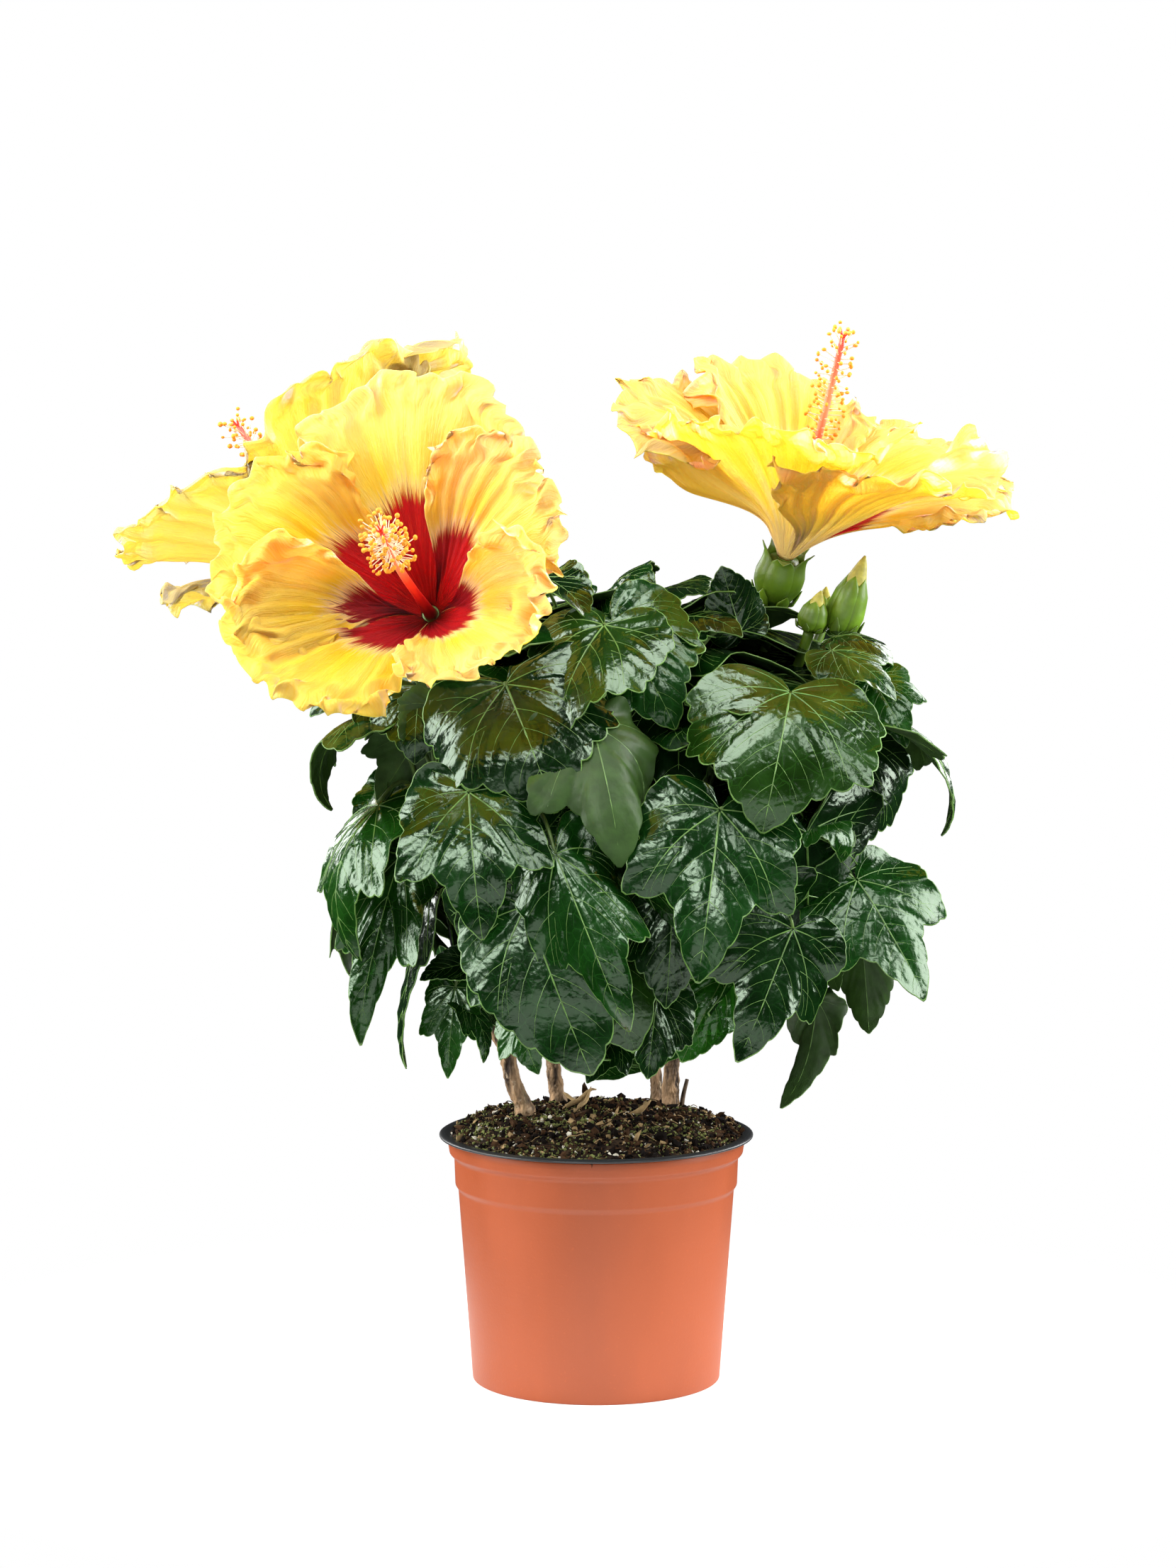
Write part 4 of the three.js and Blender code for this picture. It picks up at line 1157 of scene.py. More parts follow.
class HIBISCUS_OT_foliage(bpy.types.Operator):
    """Grow the twigs, leaf stalks and leaves of every mass"""

    bl_idname = "hibiscus.foliage"
    bl_label = "Foliage"

    def execute(self, context):
        settings = context.scene.hibiscus_leaves
        wood = context.scene.hibiscus_wood
        rng = np.random.default_rng(settings.seed)
        self.best, self.fine, self.coarse = (make_forms(*corners) for corners in FORM_CORNERS)
        self.crown = Crown()
        self.stalks, self.twigs = Gather(), Gather()
        self.length = settings.length
        self.leaves = {name: Gather() for name in MASSES}
        self.shoots = {name: self.grow_shoots(name, rng) for name in MASSES}
        self.lead(rng)
        self.hang(rng)
        for name in MASSES:
            self.grow_leaves(name, rng)
        self.close_gaps(rng)
        self.young_leaves(rng)
        tones = self.materials(settings)
        hanging = self.drape_owners()
        for name, gather in self.leaves.items():
            nodes = [name] + [drape for drape, owner in hanging.items() if owner == name]
            gather.make("leaves_" + name, tones, "leaf", nodes)
        shoot = self.shoot_material("YoungShoot", wood.shoot)
        twig = self.shoot_material("Twig", [c * 0.45 + s * 0.35 for c, s in zip(wood.bark, wood.shoot)])
        self.stalks.make("leaf_stalks", [shoot], "leaf")
        self.twigs.make("twigs", [twig], "bark")
        return {"FINISHED"}

    def shoot_material(self, name, colour):
        def build(tree, shader, place):
            streak = noise(tree, place, 160.0, 3.0, stretch=(1, 1, 0.4))
            tone = mix(tree, spread(tree, streak, 0.35, 0.65), rgba(colour, 0.65), rgba(colour, 1.3))
            connect(tree, shader, Base_Color=tone)
        return new_material(name, colour, 0.5, build)

    def materials(self, settings):
        def upper(name, colour):
            def build(tree, shader, place):
                mottle = noise(tree, place, 70.0, 4.0)
                fine = noise(tree, place, 480.0, 4.0)
                tone = mix(tree, spread(tree, mottle, 0.32, 0.68), rgba(colour, 0.7), rgba(colour, 1.4))
                mesh = add_node(tree, "ShaderNodeTexVoronoi", {"Vector": place, "Scale": 170.0},
                                feature="DISTANCE_TO_EDGE").outputs["Distance"]
                net = spread(tree, mesh, 0.0, 0.045, 0.55, 0.0)
                tone = mix(tree, net, tone, rgba([c * 1.7 + w for c, w in zip(colour, NET_COLOUR)]))
                connect(tree, shader, Base_Color=tone)
                crinkle = bump(tree, fine, 0.0003, 0.5)
                cells = bump(tree, spread(tree, mesh, 0.0, 0.2), 0.00012, 0.5, crinkle)
                connect(tree, shader, Normal=bump(tree, mottle, 0.0006, 0.5, cells))
                connect(tree, shader, Roughness=spread(tree, mottle, 0.35, 0.65, 0.15, 0.21))
            return new_material(name, colour, 0.28, build, Specular_IOR_Level=0.55,
                                Specular_Tint=(0.78, 1.0, 0.75, 1))

        def under(name, colour):
            def build(tree, shader, place):
                mottle = noise(tree, place, 160.0, 3.0)
                tone = mix(tree, spread(tree, mottle, 0.3, 0.7), rgba(colour, 0.8), rgba(colour, 1.2))
                connect(tree, shader, Base_Color=tone, Normal=bump(tree, mottle, 0.0008, 0.5))
            return new_material(name, colour, 0.45, build, Specular_IOR_Level=0.28)

        tones = []
        for k, tint in enumerate(LEAF_TINTS_AND_SHADE):
            tones.append(upper(f"LeafUpper{k + 1}", [c * t for c, t in zip(settings.upper, tint)]))
        for k, tint in enumerate(UNDER_TINTS_AND_SHADE):
            tones.append(under(f"LeafUnder{k + 1}", [c * t for c, t in zip(settings.under, tint)]))
        tones.append(mottled("LeafVein", settings.vein, 0.4, 200.0, 0.3))
        return tones

    def drape_owners(self):
        """The mass that each hanging outer leaf belongs to."""
        return {drape: self.owner(node_box(drape)[0]) for drape in DRAPES}

    def owner(self, point):
        lumps = self.crown.lumps
        return min(MASSES, key=lambda name: np.linalg.norm((point - lumps[name][0]) / lumps[name][1]))

    def grow_shoots(self, name, rng):
        """Twigs from the nearest limb out into a mass; leaves grow from their ends."""
        centre, half = self.crown.lumps[name]
        count = 5 if "skirt" in name else 7
        ends = []
        for k in range(count):
            height = 1 - 2 * (k + 0.5) / count
            angle = k * 2.4 + rng.uniform(0, 0.6)
            ring = math.sqrt(max(0, 1 - height * height))
            way = np.array((ring * math.cos(angle), ring * math.sin(angle), height))
            end = centre + way * half * rng.uniform(0.42, 0.6)
            for _ in range(8):
                if self.crown.in_outline(end + 0.12 * (end - self.crown.centre)):
                    break
                end = end + 0.12 * (self.crown.centre - end)
            start = self.crown.nearest_limb(end)
            middle = (start + end) / 2 + rng.normal(0, 4, 3) * MM + np.array((0, 0, 5 * MM))
            path = smooth_path([start, middle, end], 8)
            self.twigs.tube(path, np.linspace(1.5, 0.95, 8) * MM, 7)
            ends.append(path[-1])
            ends.append(path[5])
        return np.array(ends)

    def stalk(self, attach, away, rng):
        """A leaf stalk from the nearest shoot end to a leaf."""
        ends = np.concatenate(list(self.shoots.values()))
        inward = attach - 16 * MM * unit(away)
        start = ends[np.linalg.norm(ends - inward, axis=1).argmin()]
        lift = np.array((0, 0, rng.uniform(2, 8) * MM))
        path = smooth_path([start, (start + attach) / 2 + lift, attach], 8)
        self.stalks.tube(path, np.linspace(1.0, 0.7, 8) * MM, 6)

    def lead(self, rng):
        for attach, tip, face, outline, tint, apart in LEADING_LEAVES:
            attach, tip = np.array(attach) * MM, np.array(tip) * MM
            bend = random_bend(rng)
            bend.update(width=1.0, fold=0.04, hook=0.35, twist=rng.normal(0, 0.1), droop=0.5)
            bend.update(apart)
            middle = (attach + tip) / 2
            place_leaf(self.leaves[self.owner(middle)], self.best[outline], attach, tip,
                       np.array(face, float), bend, tint)
            self.crown.middles.append(middle)
            self.stalk(attach, middle - self.crown.centre, rng)

    def hang(self, rng):
        """Leaves in place of the drapes at the back; the leading leaves stand for the others."""
        owners = self.drape_owners()
        for name in DRAPES:
            if "back" not in name:
                continue
            points = node_points(name)
            attach, tip = points[points[:, 2].argmax()], points[points[:, 2].argmin()]
            out = unit(np.array((*(attach - self.crown.centre)[:2], 0)))
            bend = random_bend(rng, curl=1.4)
            place_leaf(self.leaves[owners[name]], self.fine["lobed"], attach, tip,
                       unit(out + 0.3 * UP), bend, 1)
            self.crown.middles.append((attach + tip) / 2)
            self.stalk(attach, out, rng)

    def grow_leaves(self, name, rng):
        """Fills a mass with leaves that hang over one another like shingles."""
        crown = self.crown
        centre, half = crown.lumps[name]
        area = 4 * math.pi * (np.prod(half) ** (2 / 3))
        wanted = int(area / (SKIRT_LEAF_AREA if "skirt" in name else LEAF_AREA))
        made = 0
        for _ in range(wanted * TRIES):
            if made >= wanted:
                break
            way = unit(rng.normal(size=3))
            depth = rng.uniform(0.5, 0.98)
            attach = centre + way * half * depth
            normal = unit(0.45 * way + 0.75 * crown.outward(attach))
            if way @ crown.outward(attach) < -0.1:
                continue
            slope = crown.down_slope(normal)
            length = self.length * rng.uniform(0.68, 1.12)
            heading = unit(slope + 0.22 * normal * (normal[2] > -0.2) + rng.normal(0, 0.28, 3))
            tip = attach + heading * length
            middle = (attach + tip) / 2
            inside = crown.in_foliage(tip, 1.12) and crown.in_foliage(middle, 1.05)
            if crown.crowded(middle) or not inside:
                continue
            side = 0.36 * length * unit(np.cross(heading, normal))
            corners = (attach, middle + side, middle - side, tip)
            if any(crown.in_bloom(point) for point in (attach, middle, tip)):
                continue
            if not all(crown.in_outline(point) for point in corners):
                continue
            if tip[2] < LOWEST_TIP or min(attach[1], tip[1]) < FRONT_LIMIT:
                continue
            face = unit(normal + 0.3 * UP + rng.normal(0, 0.22, 3))
            forms = self.fine if depth > 0.72 and tip[1] < 0.03 else self.coarse
            outline = rng.choice(("ovate", "lobed", "broad", "lobed"))
            bend = random_bend(rng, droop=rng.uniform(0.35, 1.0), curl=rng.uniform(0.5, 1.6))
            tint = int(rng.choice(PLAIN_TINTS))
            # Leaves deep in the mass or at the crown's back all take the dark tint 2: painted shade.
            tint = tint if forms is self.fine else 2
            place_leaf(self.leaves[name], forms[outline], attach, tip, face, bend, tint)
            self.stalk(attach, normal, rng)
            crown.middles.append(middle)
            made += 1

    def close_gaps(self, rng):
        """More leaves at the sides and the back, wherever the crown is still open."""
        for k in range(GAP_SITES):
            height = 1 - 1.8 * (k + 0.5) / GAP_SITES
            ring = math.sqrt(1 - height * height)
            way = np.array((ring * math.cos(GOLDEN_ANGLE * k), ring * math.sin(GOLDEN_ANGLE * k), height))
            # Where the crown's outline is narrower, the leaf sits further in.
            for reach in (0.88, 0.78, 0.68, 0.58, 0.48):
                if self.close_gap(way, reach, rng):
                    break

    def close_gap(self, way, reach, rng):
        """Puts a leaf at a place in the crown; tells whether that place is covered now."""
        crown = self.crown
        middle = crown.centre + way * crown.half * reach
        if min(np.linalg.norm(middle - other) for other in crown.middles) < GAP_SIZE:
            return True
        if middle[1] < GAP_FRONT or middle[2] < GAP_FOOT:
            return True
        normal = crown.outward(middle)
        half = 0.5 * self.length * rng.uniform(0.75, 1.0)
        slope = unit(crown.down_slope(normal) + rng.normal(0, 0.2, 3))
        attach, tip = middle - slope * half, middle + (slope + 0.15 * normal) * half
        side = 0.6 * half * unit(np.cross(slope, normal))
        corners = (attach, middle + side, middle - side, tip)
        if not all(crown.in_outline(point) and not crown.in_bloom(point) for point in corners):
            return False
        bend = random_bend(rng, droop=rng.uniform(0.4, 0.9), curl=rng.uniform(0.6, 1.4))
        place_leaf(self.leaves[self.owner(middle)], self.fine[rng.choice(("lobed", "broad", "lobed"))],
                   attach, tip, unit(normal + 0.3 * UP), bend, int(rng.choice(PLAIN_TINTS)))
        self.stalk(attach, normal, rng)
        crown.middles.append(middle)
        return True

    def young_leaves(self, rng):
        """Small light leaves round the foot of each bud."""
        for name in BUDS:
            seat = node_box(name)[0]
            for k in range(5):
                angle = rng.uniform(0, TURN)
                out = np.array((math.cos(angle), math.sin(angle), 0))
                attach = seat - np.array((0, 0, rng.uniform(14, 22) * MM)) + out * 3 * MM
                tip = attach + unit(out + UP * rng.uniform(-0.2, 0.7)) * rng.uniform(10, 20) * MM
                bend = random_bend(rng, droop=0.9, curl=-1.6)
                place_leaf(self.leaves[self.owner(attach)], self.coarse["lobed"], attach, tip,
                           unit(UP + 0.3 * out), bend, 5 if k % 2 else 3)


# ---------------------------------------------------------------- blooms


# The colour each kind of petal leans to, and how far.
PETAL_CASTS = {
    "Lemon": ((1.0, 0.5, 0.11), 0.1),
    "Honey": ((1.0, 0.38, 0.07), 0.45),
    "Gold": ((1.0, 0.42, 0.0), 0.5),
    # Cream, for the back bloom, is darker as well as paler than the other casts: its darkness is painted
    # shade.
    "ShadedCream": ((0.44, 0.32, 0.125), 0.7),
}


def petal_materials(settings, cast):
    """The inner and outer face of a petal, patterned on the place across and along it."""
    def yellow(*colour):
        other, share = PETAL_CASTS[cast]
        return rgba([c * (1 - share) + o * share for c, o in zip(colour, other)])

    def inner(tree, shader, place):
        grain, across, along = grain_place(tree)
        streak = noise(tree, grain, 1.0, 4.0, stretch=(34, 2.2, 1))
        fine = noise(tree, grain, 1.0, 3.0, stretch=(110, 5, 1))
        cloud = noise(tree, grain, 1.0, 3.0, stretch=(3.2, 2.4, 1))
        tone = mix(tree, spread(tree, cloud, 0.36, 0.62), yellow(*settings.deep), yellow(*settings.pale))
        tone = mix(tree, spread(tree, streak, 0.45, 0.7, 0.0, 0.7), tone, yellow(1.0, 0.36, 0.005))
        # Paler towards the rim: partly the petal's own paler rim, partly a painted highlight where the lit
        # rim washes out.
        tone = mix(tree, spread(tree, along, 0.5, 1.05, 0.0, 0.7), tone, yellow(1.0, 0.48, 0.15))
        tone = mix(tree, spread(tree, fine, 0.5, 0.75, 0.0, 0.3), tone, yellow(1.0, 0.5, 0.2))
        tone = mix(tree, spread(tree, fine, 0.5, 0.3, 0.0, 0.45), tone, yellow(1.0, 0.32, 0.004))
        feather = shifted(tree, shifted(tree, along, fine, 0.17), streak, 0.22)
        edge = maths(tree, "ABSOLUTE", across)
        wings = maths(tree, "MULTIPLY", maths(tree, "POWER", edge, 2.0), 0.06)
        feather = maths(tree, "ADD", feather, wings)
        halo = spread(tree, feather, 0.55, 0.465, 0.0, 0.55)
        tone = mix(tree, halo, tone, rgba((1.0, 0.5, 0.28)))
        red = mix(tree, spread(tree, along, 0.1, 0.34), rgba(settings.eye, 0.14), rgba(settings.eye))
        red = mix(tree, spread(tree, fine, 0.55, 0.75, 0.0, 0.45), red, rgba((0.6, 0.014, 0.022)))
        tone = mix(tree, spread(tree, feather, 0.5, 0.43), tone, red)
        connect(tree, shader, Base_Color=tone)
        crepe = bump(tree, noise(tree, grain, 1.0, 3.0, stretch=(46, 34, 1)), 0.0009, 0.5)
        pleat = bump(tree, fine, 0.0012, 0.5, crepe)
        connect(tree, shader, Normal=bump(tree, streak, 0.0011, 0.5, pleat))

    def outer(tree, shader, place):
        grain, _, along = grain_place(tree)
        streak = noise(tree, grain, 1.0, 4.0, stretch=(30, 1.6, 1))
        fine = noise(tree, grain, 1.0, 3.0, stretch=(90, 3, 1))
        streaky = spread(tree, streak, 0.38, 0.66)
        tone = mix(tree, streaky, yellow(1.0, 0.44, 0.006), yellow(1.0, 0.56, 0.04))
        flush = shifted(tree, along, streak, 0.35)
        tone = mix(tree, spread(tree, flush, 0.54, 0.3, 0.0, 0.6), tone, yellow(0.95, 0.32, 0.13))
        tone = mix(tree, spread(tree, flush, 0.36, 0.12, 0.0, 0.85), tone, yellow(0.9, 0.3, 0.24))
        tone = mix(tree, spread(tree, fine, 0.55, 0.7, 0.0, 0.35), tone, yellow(1.0, 0.6, 0.14))
        connect(tree, shader, Base_Color=tone)
        crepe = bump(tree, noise(tree, grain, 1.0, 3.0, stretch=(46, 34, 1)), 0.0016, 0.5)
        connect(tree, shader, Normal=bump(tree, fine, 0.0012, 0.5, crepe))

    sheen = {"Subsurface_Weight": 0.8, "Subsurface_Radius": (0.0045, 0.0036, 0.0014),
             "Subsurface_Scale": 1.0, "Specular_IOR_Level": 0.2}
    return [
        new_material("Petal" + cast + "Inside", settings.pale, 0.5, inner, **sheen),
        new_material("Petal" + cast + "Outside", settings.pale, 0.6, outer, **sheen),
    ]


# How the petals of each bloom ruffle, in mm, and how deeply they overlap. Each petal then has its length
# as a share of the usual, its turn in degrees, and how far its rim and its two side edges stand up.
BLOOM_STYLE = {
    "front": {
        "broad": 2.5, "frill": 2.9, "crimp": 1.25, "pleat": 0.5, "roll": 3, "overlap": 0.45,
        "corner": 0.26, "seed": 3, "casts": ("Lemon", "Gold", "Gold", "Lemon", "Lemon"),
        "petals": ((1.12, 0, 0, -4, -4), (1.06, 8, 0, 5, -3), (1.01, -18, 8, 9, -2),
                   (0.92, 16, 13, 3, 7), (0.95, 8, 0, -4, 4)),
    },
    "back": {
        "broad": 3.6, "frill": 2.9, "crimp": 1.2, "pleat": 0.8, "roll": 4, "overlap": 0.3,
        "corner": 0.34, "seed": 8, "casts": ("ShadedCream",) * 5,
        "petals": ((1.07, 2, 0, 6, -3), (1.0, 0, 0, 6, -3), (1.0, 0, 6, 6, -3),
                   (1.0, 13, 20, 6, -3), (1.06, 22, 0, 6, -3)),
    },
    "right": {
        "broad": 3.0, "frill": 2.8, "crimp": 1.2, "pleat": 0.8, "roll": 2, "overlap": 0.4,
        "corner": 0.24, "seed": 14, "casts": ("Lemon", "Lemon", "Honey", "Honey", "Lemon"),
        "petals": ((0.92, 10, -2, -2, 4), (1.05, 0, -11, -2, 4), (1.08, 0, 24, -28, 12),
                   (1.04, -17, 21, -10, 4), (1.05, -5, -3, -2, 4)),
    },
}
PETAL_CORNERS = (119, 57)  # across and along a petal


class HIBISCUS_OT_petals(bpy.types.Operator):
    """Make the ruffled petals of the open blooms"""

    bl_idname = "hibiscus.petals"
    bl_label = "Petals"

    def execute(self, context):
        settings = context.scene.hibiscus_blooms
        tones = {cast: petal_materials(settings, cast) for cast in PETAL_CASTS}
        sheet = two_sided_sheet(*PETAL_CORNERS)
        for name in BLOOMS:
            plan = bloom_plan(name)
            for index in range(PETALS):
                self.petal(sheet, plan, name, index, tones)
        return {"FINISHED"}

    def petal(self, sheet, plan, bloom, index, tones):
        style = BLOOM_STYLE[bloom]
        spec = plan["petals"][index]
        length, turn, stand, first, second = style["petals"][index]
        rng = np.random.default_rng(style["seed"] * 10 + index)
        u, v, side = sheet["across"], sheet["along"], sheet["side"]
        outline, scallop, nick = wobble(rng, 1, 4, 3.0), wobble(rng, 1, 5, 13.0), wobble(rng, 1, 7, 34.0)
        broad, frill, crimp = wobble(rng, 2, 5, 8.0), wobble(rng, 2, 8, 25.0), wobble(rng, 2, 10, 62.0)
        pleat, sway, quiver = wobble(rng, 1, 7, 36.0), wobble(rng, 2, 8, 25.0), wobble(rng, 2, 10, 62.0)
        uv = np.column_stack([u, v])
        stretched = uv * (1, 1.2)
        across = u[:, None]
        top, edges = rise(v, 0.55, 1.0), rise(np.abs(u), 0.66, 1.0) * rise(v, 0.35, 0.7)
        margin = 1 - (1 - top) * (1 - 0.8 * edges)

        corner = 1 - style["corner"] * np.abs(u) ** 2.5
        ragged = 0.03 * outline(across) + 0.022 * scallop(across) + 0.014 * nick(across)
        share = v * (corner + ragged) * length
        half = math.pi / PETALS * (1 + style["overlap"] * np.minimum(1, 1.6 * v))
        angle = spec["angle"] + math.radians(turn) * np.minimum(1, 2 * v) + u * half
        reach = spec["radius"] - spec["inner"]
        radius = spec["inner"] + reach * share**1.12
        fall = 1 - share
        height = spec["height"] * (1 - np.sign(fall) * np.abs(fall) ** 1.7) + stand * MM * v**2
        lean = np.arctan(np.clip(1.7 * spec["height"] / reach * np.abs(fall) ** 0.7, 0, 3))
        # Where two petals meet, the side edge of one stands up over the other.
        lap = sum(lift * (0.35 * rise(way * u, 0.1, 0.5) + 0.65 * rise(way * u, 0.5, 1.0))
                  for lift, way in ((first, -1), (second, 1)))
        wave = lap * rise(v, 0.15, 0.7) + style["broad"] * v**1.6 * (0.25 + 0.75 * top) * broad(stretched)
        wave = wave + style["frill"] * margin**2.8 * frill(stretched)
        wave = wave + style["crimp"] * margin**4 * crimp(uv)
        wave = (wave + style["pleat"] * pleat(across) * np.sin(math.pi * np.minimum(0.72, v * 0.8))) * MM
        # The margin also sways sideways, so that its folds overhang.
        aside = style["frill"] * margin**2.8 * sway(stretched) + style["crimp"] * margin**4 * quiver(uv)
        angle = angle + 0.9 * aside * MM / np.maximum(radius, 20 * MM)
        radius = radius - wave * np.sin(lean)
        height = height + wave * np.cos(lean)
        # The rim rolls back.
        roll = style["roll"] * MM * rng.uniform(0.4, 1.0)
        roll = roll * rise(v, 0.66, 1.05) * (1 + 0.7 * outline(across))
        height = height - roll
        radius = radius - 0.35 * roll
        radial = np.outer(np.cos(angle), plan["side"]) + np.outer(np.sin(angle), plan["top"])
        points = plan["base"] + radial * radius[:, None] + np.outer(height + side * 0.2 * MM, plan["axis"])
        slots = np.where(sheet["kinds"] == 1, 0, 1)
        blade = Gather()
        blade.add(points, sheet["faces"], slots, uv)
        name = f"bloom_{bloom}_petal_{index + 1}"
        blade.make(name + "_blade", tones[style["casts"][index]], "petal", [name])


# Where along each column its filaments begin, how many there are, and their length in mm.
BRUSHES = {"front": (0.74, 128, 10.5), "back": (0.64, 84, 9.0), "right": (0.5, 92, 8.5)}
BRUSH_SEED = 60
BRUSH_END = 0.985  # where the last filament stands
STIGMAS = 5


class HIBISCUS_OT_columns(bpy.types.Operator):
    """Make each bloom's column with its filaments, anthers and stigmas"""

    bl_idname = "hibiscus.columns"
    bl_label = "Columns"

    def execute(self, context):
        settings = context.scene.hibiscus_blooms

        def blush(tree, shader, place):
            _, _, along = grain_place(tree)
            tone = ramp(tree, along, [
                (0.0, (0.42, 0.004, 0.01)), (0.3, (0.75, 0.02, 0.015)), (0.5, (0.9, 0.08, 0.04)),
                (0.7, (0.95, 0.36, 0.22)), (1.0, (0.85, 0.06, 0.04)),
            ])
            connect(tree, shader, Base_Color=tone)
        column = new_material("Column", (0.7, 0.03, 0.02), 0.35, blush, Subsurface_Weight=0.2,
                              Subsurface_Radius=(0.003, 0.001, 0.001))
        filament = mottled("Filament", (0.86, 0.76, 0.54), 0.4, amount=0.08)
        anther = mottled("Anther", settings.anther, 0.7)
        pad = mottled("Stigma", (0.9, 0.45, 0.06), 0.6)
        for seed, name in enumerate(BLOOMS):
            self.column(name, bloom_plan(name), [column, filament, anther, pad], seed)
        return {"FINISHED"}

    def column(self, bloom, plan, tones, seed):
        rng = np.random.default_rng(BRUSH_SEED + seed)
        start, tip = plan["base"] - plan["axis"] * 1.5 * MM, plan["tip"]
        sag = np.array((0, 0, -2.5 * MM))
        rings, sides = 30, 14
        third, far_third = (2 * start + tip) / 3, (start + 2 * tip) / 3
        path = smooth_path([start, third + sag * 0.6, far_third + sag, tip], rings)
        share = np.linspace(0, 1, rings)
        radius = np.interp(share, (0, 0.08, 0.3, 0.7, 1), (2.9, 2.3, 1.75, 1.5, 1.1)) * MM
        made = Gather()
        marks = np.column_stack([np.tile(np.linspace(0, 1, sides), rings), np.repeat(share, sides)])
        made.tube(path, radius, sides, marks=marks)
        ball = unit_ball(cuts=1)
        along = unit(path[-1] - path[rings // 2])
        first = unit(np.cross(along, (0.2, 0.3, 1)))
        second = np.cross(along, first)
        first_at, count, reach = BRUSHES[bloom]
        for k in range(count):
            at = first_at + (BRUSH_END - first_at) * (k + 0.5) / count
            centre = np.array([np.interp(at, share, path[:, i]) for i in range(3)])
            turn = k * GOLDEN_ANGLE + rng.uniform(-0.3, 0.3)
            out = math.cos(turn) * first + math.sin(turn) * second
            length = rng.uniform(0.6, 1.05) * reach * MM
            lift = rng.uniform(0.05, 0.5) + 0.9 * max(0, (at - 0.88) / 0.1)
            end = centre + unit(out + lift * along) * length
            middle = (centre + end) / 2 + along * rng.uniform(-0.4, 0.4) * MM
            made.tube(smooth_path([centre, middle, end], 4), [0.2 * MM] * 4, 4, 1, marks=np.zeros((16, 2)))
            self.grain(made, ball, end, rng.uniform(0.72, 1.0) * MM, 2, rng)
        for k in range(STIGMAS):
            turn = k * TURN / STIGMAS + 0.4
            out = math.cos(turn) * first + math.sin(turn) * second
            end = tip + unit(along + 0.9 * out) * rng.uniform(3.0, 4.4) * MM
            thread = smooth_path([tip - along * MM, tip + (end - tip) * 0.5 + along * 0.5 * MM, end], 5)
            made.tube(thread, [0.38 * MM] * 5, 5, marks=np.full((25, 2), 0.45))
            self.grain(made, ball, end, 0.95 * MM, 3, rng)
        name = f"bloom_{bloom}_column"
        made.make(name + "_brush", tones, "column", [name])

    def grain(self, made, ball, centre, size, slot, rng):
        points, faces = ball
        shape = points * rng.uniform(0.75, 1.2, 3) * size
        made.add(shape + centre, faces, slot, np.zeros((len(points), 2)))


# ---------------------------------------------------------------- calyces and buds


def sepal_material(name, colour):
    def build(tree, shader, place):
        cloud = noise(tree, place, 90.0, 3.0)
        fine = noise(tree, place, 600.0, 2.0)
        tone = mix(tree, spread(tree, cloud, 0.3, 0.7), rgba(colour, 0.75), rgba(colour, 1.35))
        connect(tree, shader, Base_Color=tone, Normal=bump(tree, fine, 0.0003, 0.3))
    return new_material(name, colour, 0.42, build, Specular_IOR_Level=0.45)


class Cup:
    """A frame for what grows round an axis: base, axis and two directions across it."""

    def __init__(self, base, axis):
        self.base, self.axis = np.asarray(base, float), unit(np.asarray(axis, float))
        self.first = unit(np.cross(self.axis, (0.12, 1, 0.3)))
        self.second = np.cross(self.axis, self.first)

    def place(self, radius, angle, height):
        radial = np.outer(np.cos(angle), self.first) + np.outer(np.sin(angle), self.second)
        return self.base + radial * np.asarray(radius)[:, None] + np.outer(height, self.axis)


def bract(gather, sheet, cup, angle, width, stations, slot):
    """A pointed leaf-like blade that follows (share, radius, height) stations out from a cup's axis."""
    u, v, side = sheet["across"], sheet["along"], sheet["side"]
    share, radii, heights = (np.array(column) for column in zip(*stations))
    radius = np.interp(v, share, radii)
    height = np.interp(v, share, heights)
    blade = width * np.minimum(1, 3.2 * (1 - v)) ** 0.8 * (0.75 + 0.5 * np.sin(math.pi * v))
    keel = 0.16 * blade * (1 - u * u)
    turn = angle + u * blade / np.maximum(radius, 2.2 * MM)
    gather.add(cup.place(radius + keel + side * 0.25 * MM, turn, height), sheet["faces"], slot)


def whorl(gather, sheet, cup, count, turn, width, line, scale, slot):
    """A ring of bracts. line(k) is the course of the k-th one, before its radii and heights are scaled."""
    across, up = scale
    for k in range(count):
        stations = [(s, r * across, h * up) for s, r, h in line(k)]
        bract(gather, sheet, cup, k * TURN / count + turn, width, stations, slot)


def stalk_below(gather, cup, points, away_from, drop, radii, sides, slot):
    """A stalk from under a cup to the end of the CAD points that lies furthest from a place."""
    reach = np.linalg.norm(points - away_from, axis=1)
    end = points[reach.argsort()[-6:]].mean(0)
    way = smooth_path([cup.base + cup.axis * MM, cup.base - cup.axis * drop * MM, end], len(radii))
    gather.tube(way, radii * MM, sides, slot)


SEPALS, BRACTS = 5, 6
SEPAL_CORNERS, BUD_SEPAL_CORNERS = (9, 15), (7, 13)  # across and along a sepal or bract
SEPAL_FLARES = (0.4, 3.2, 0.6, 2.2, 0.8)  # how far the point of each sepal of an open calyx turns out


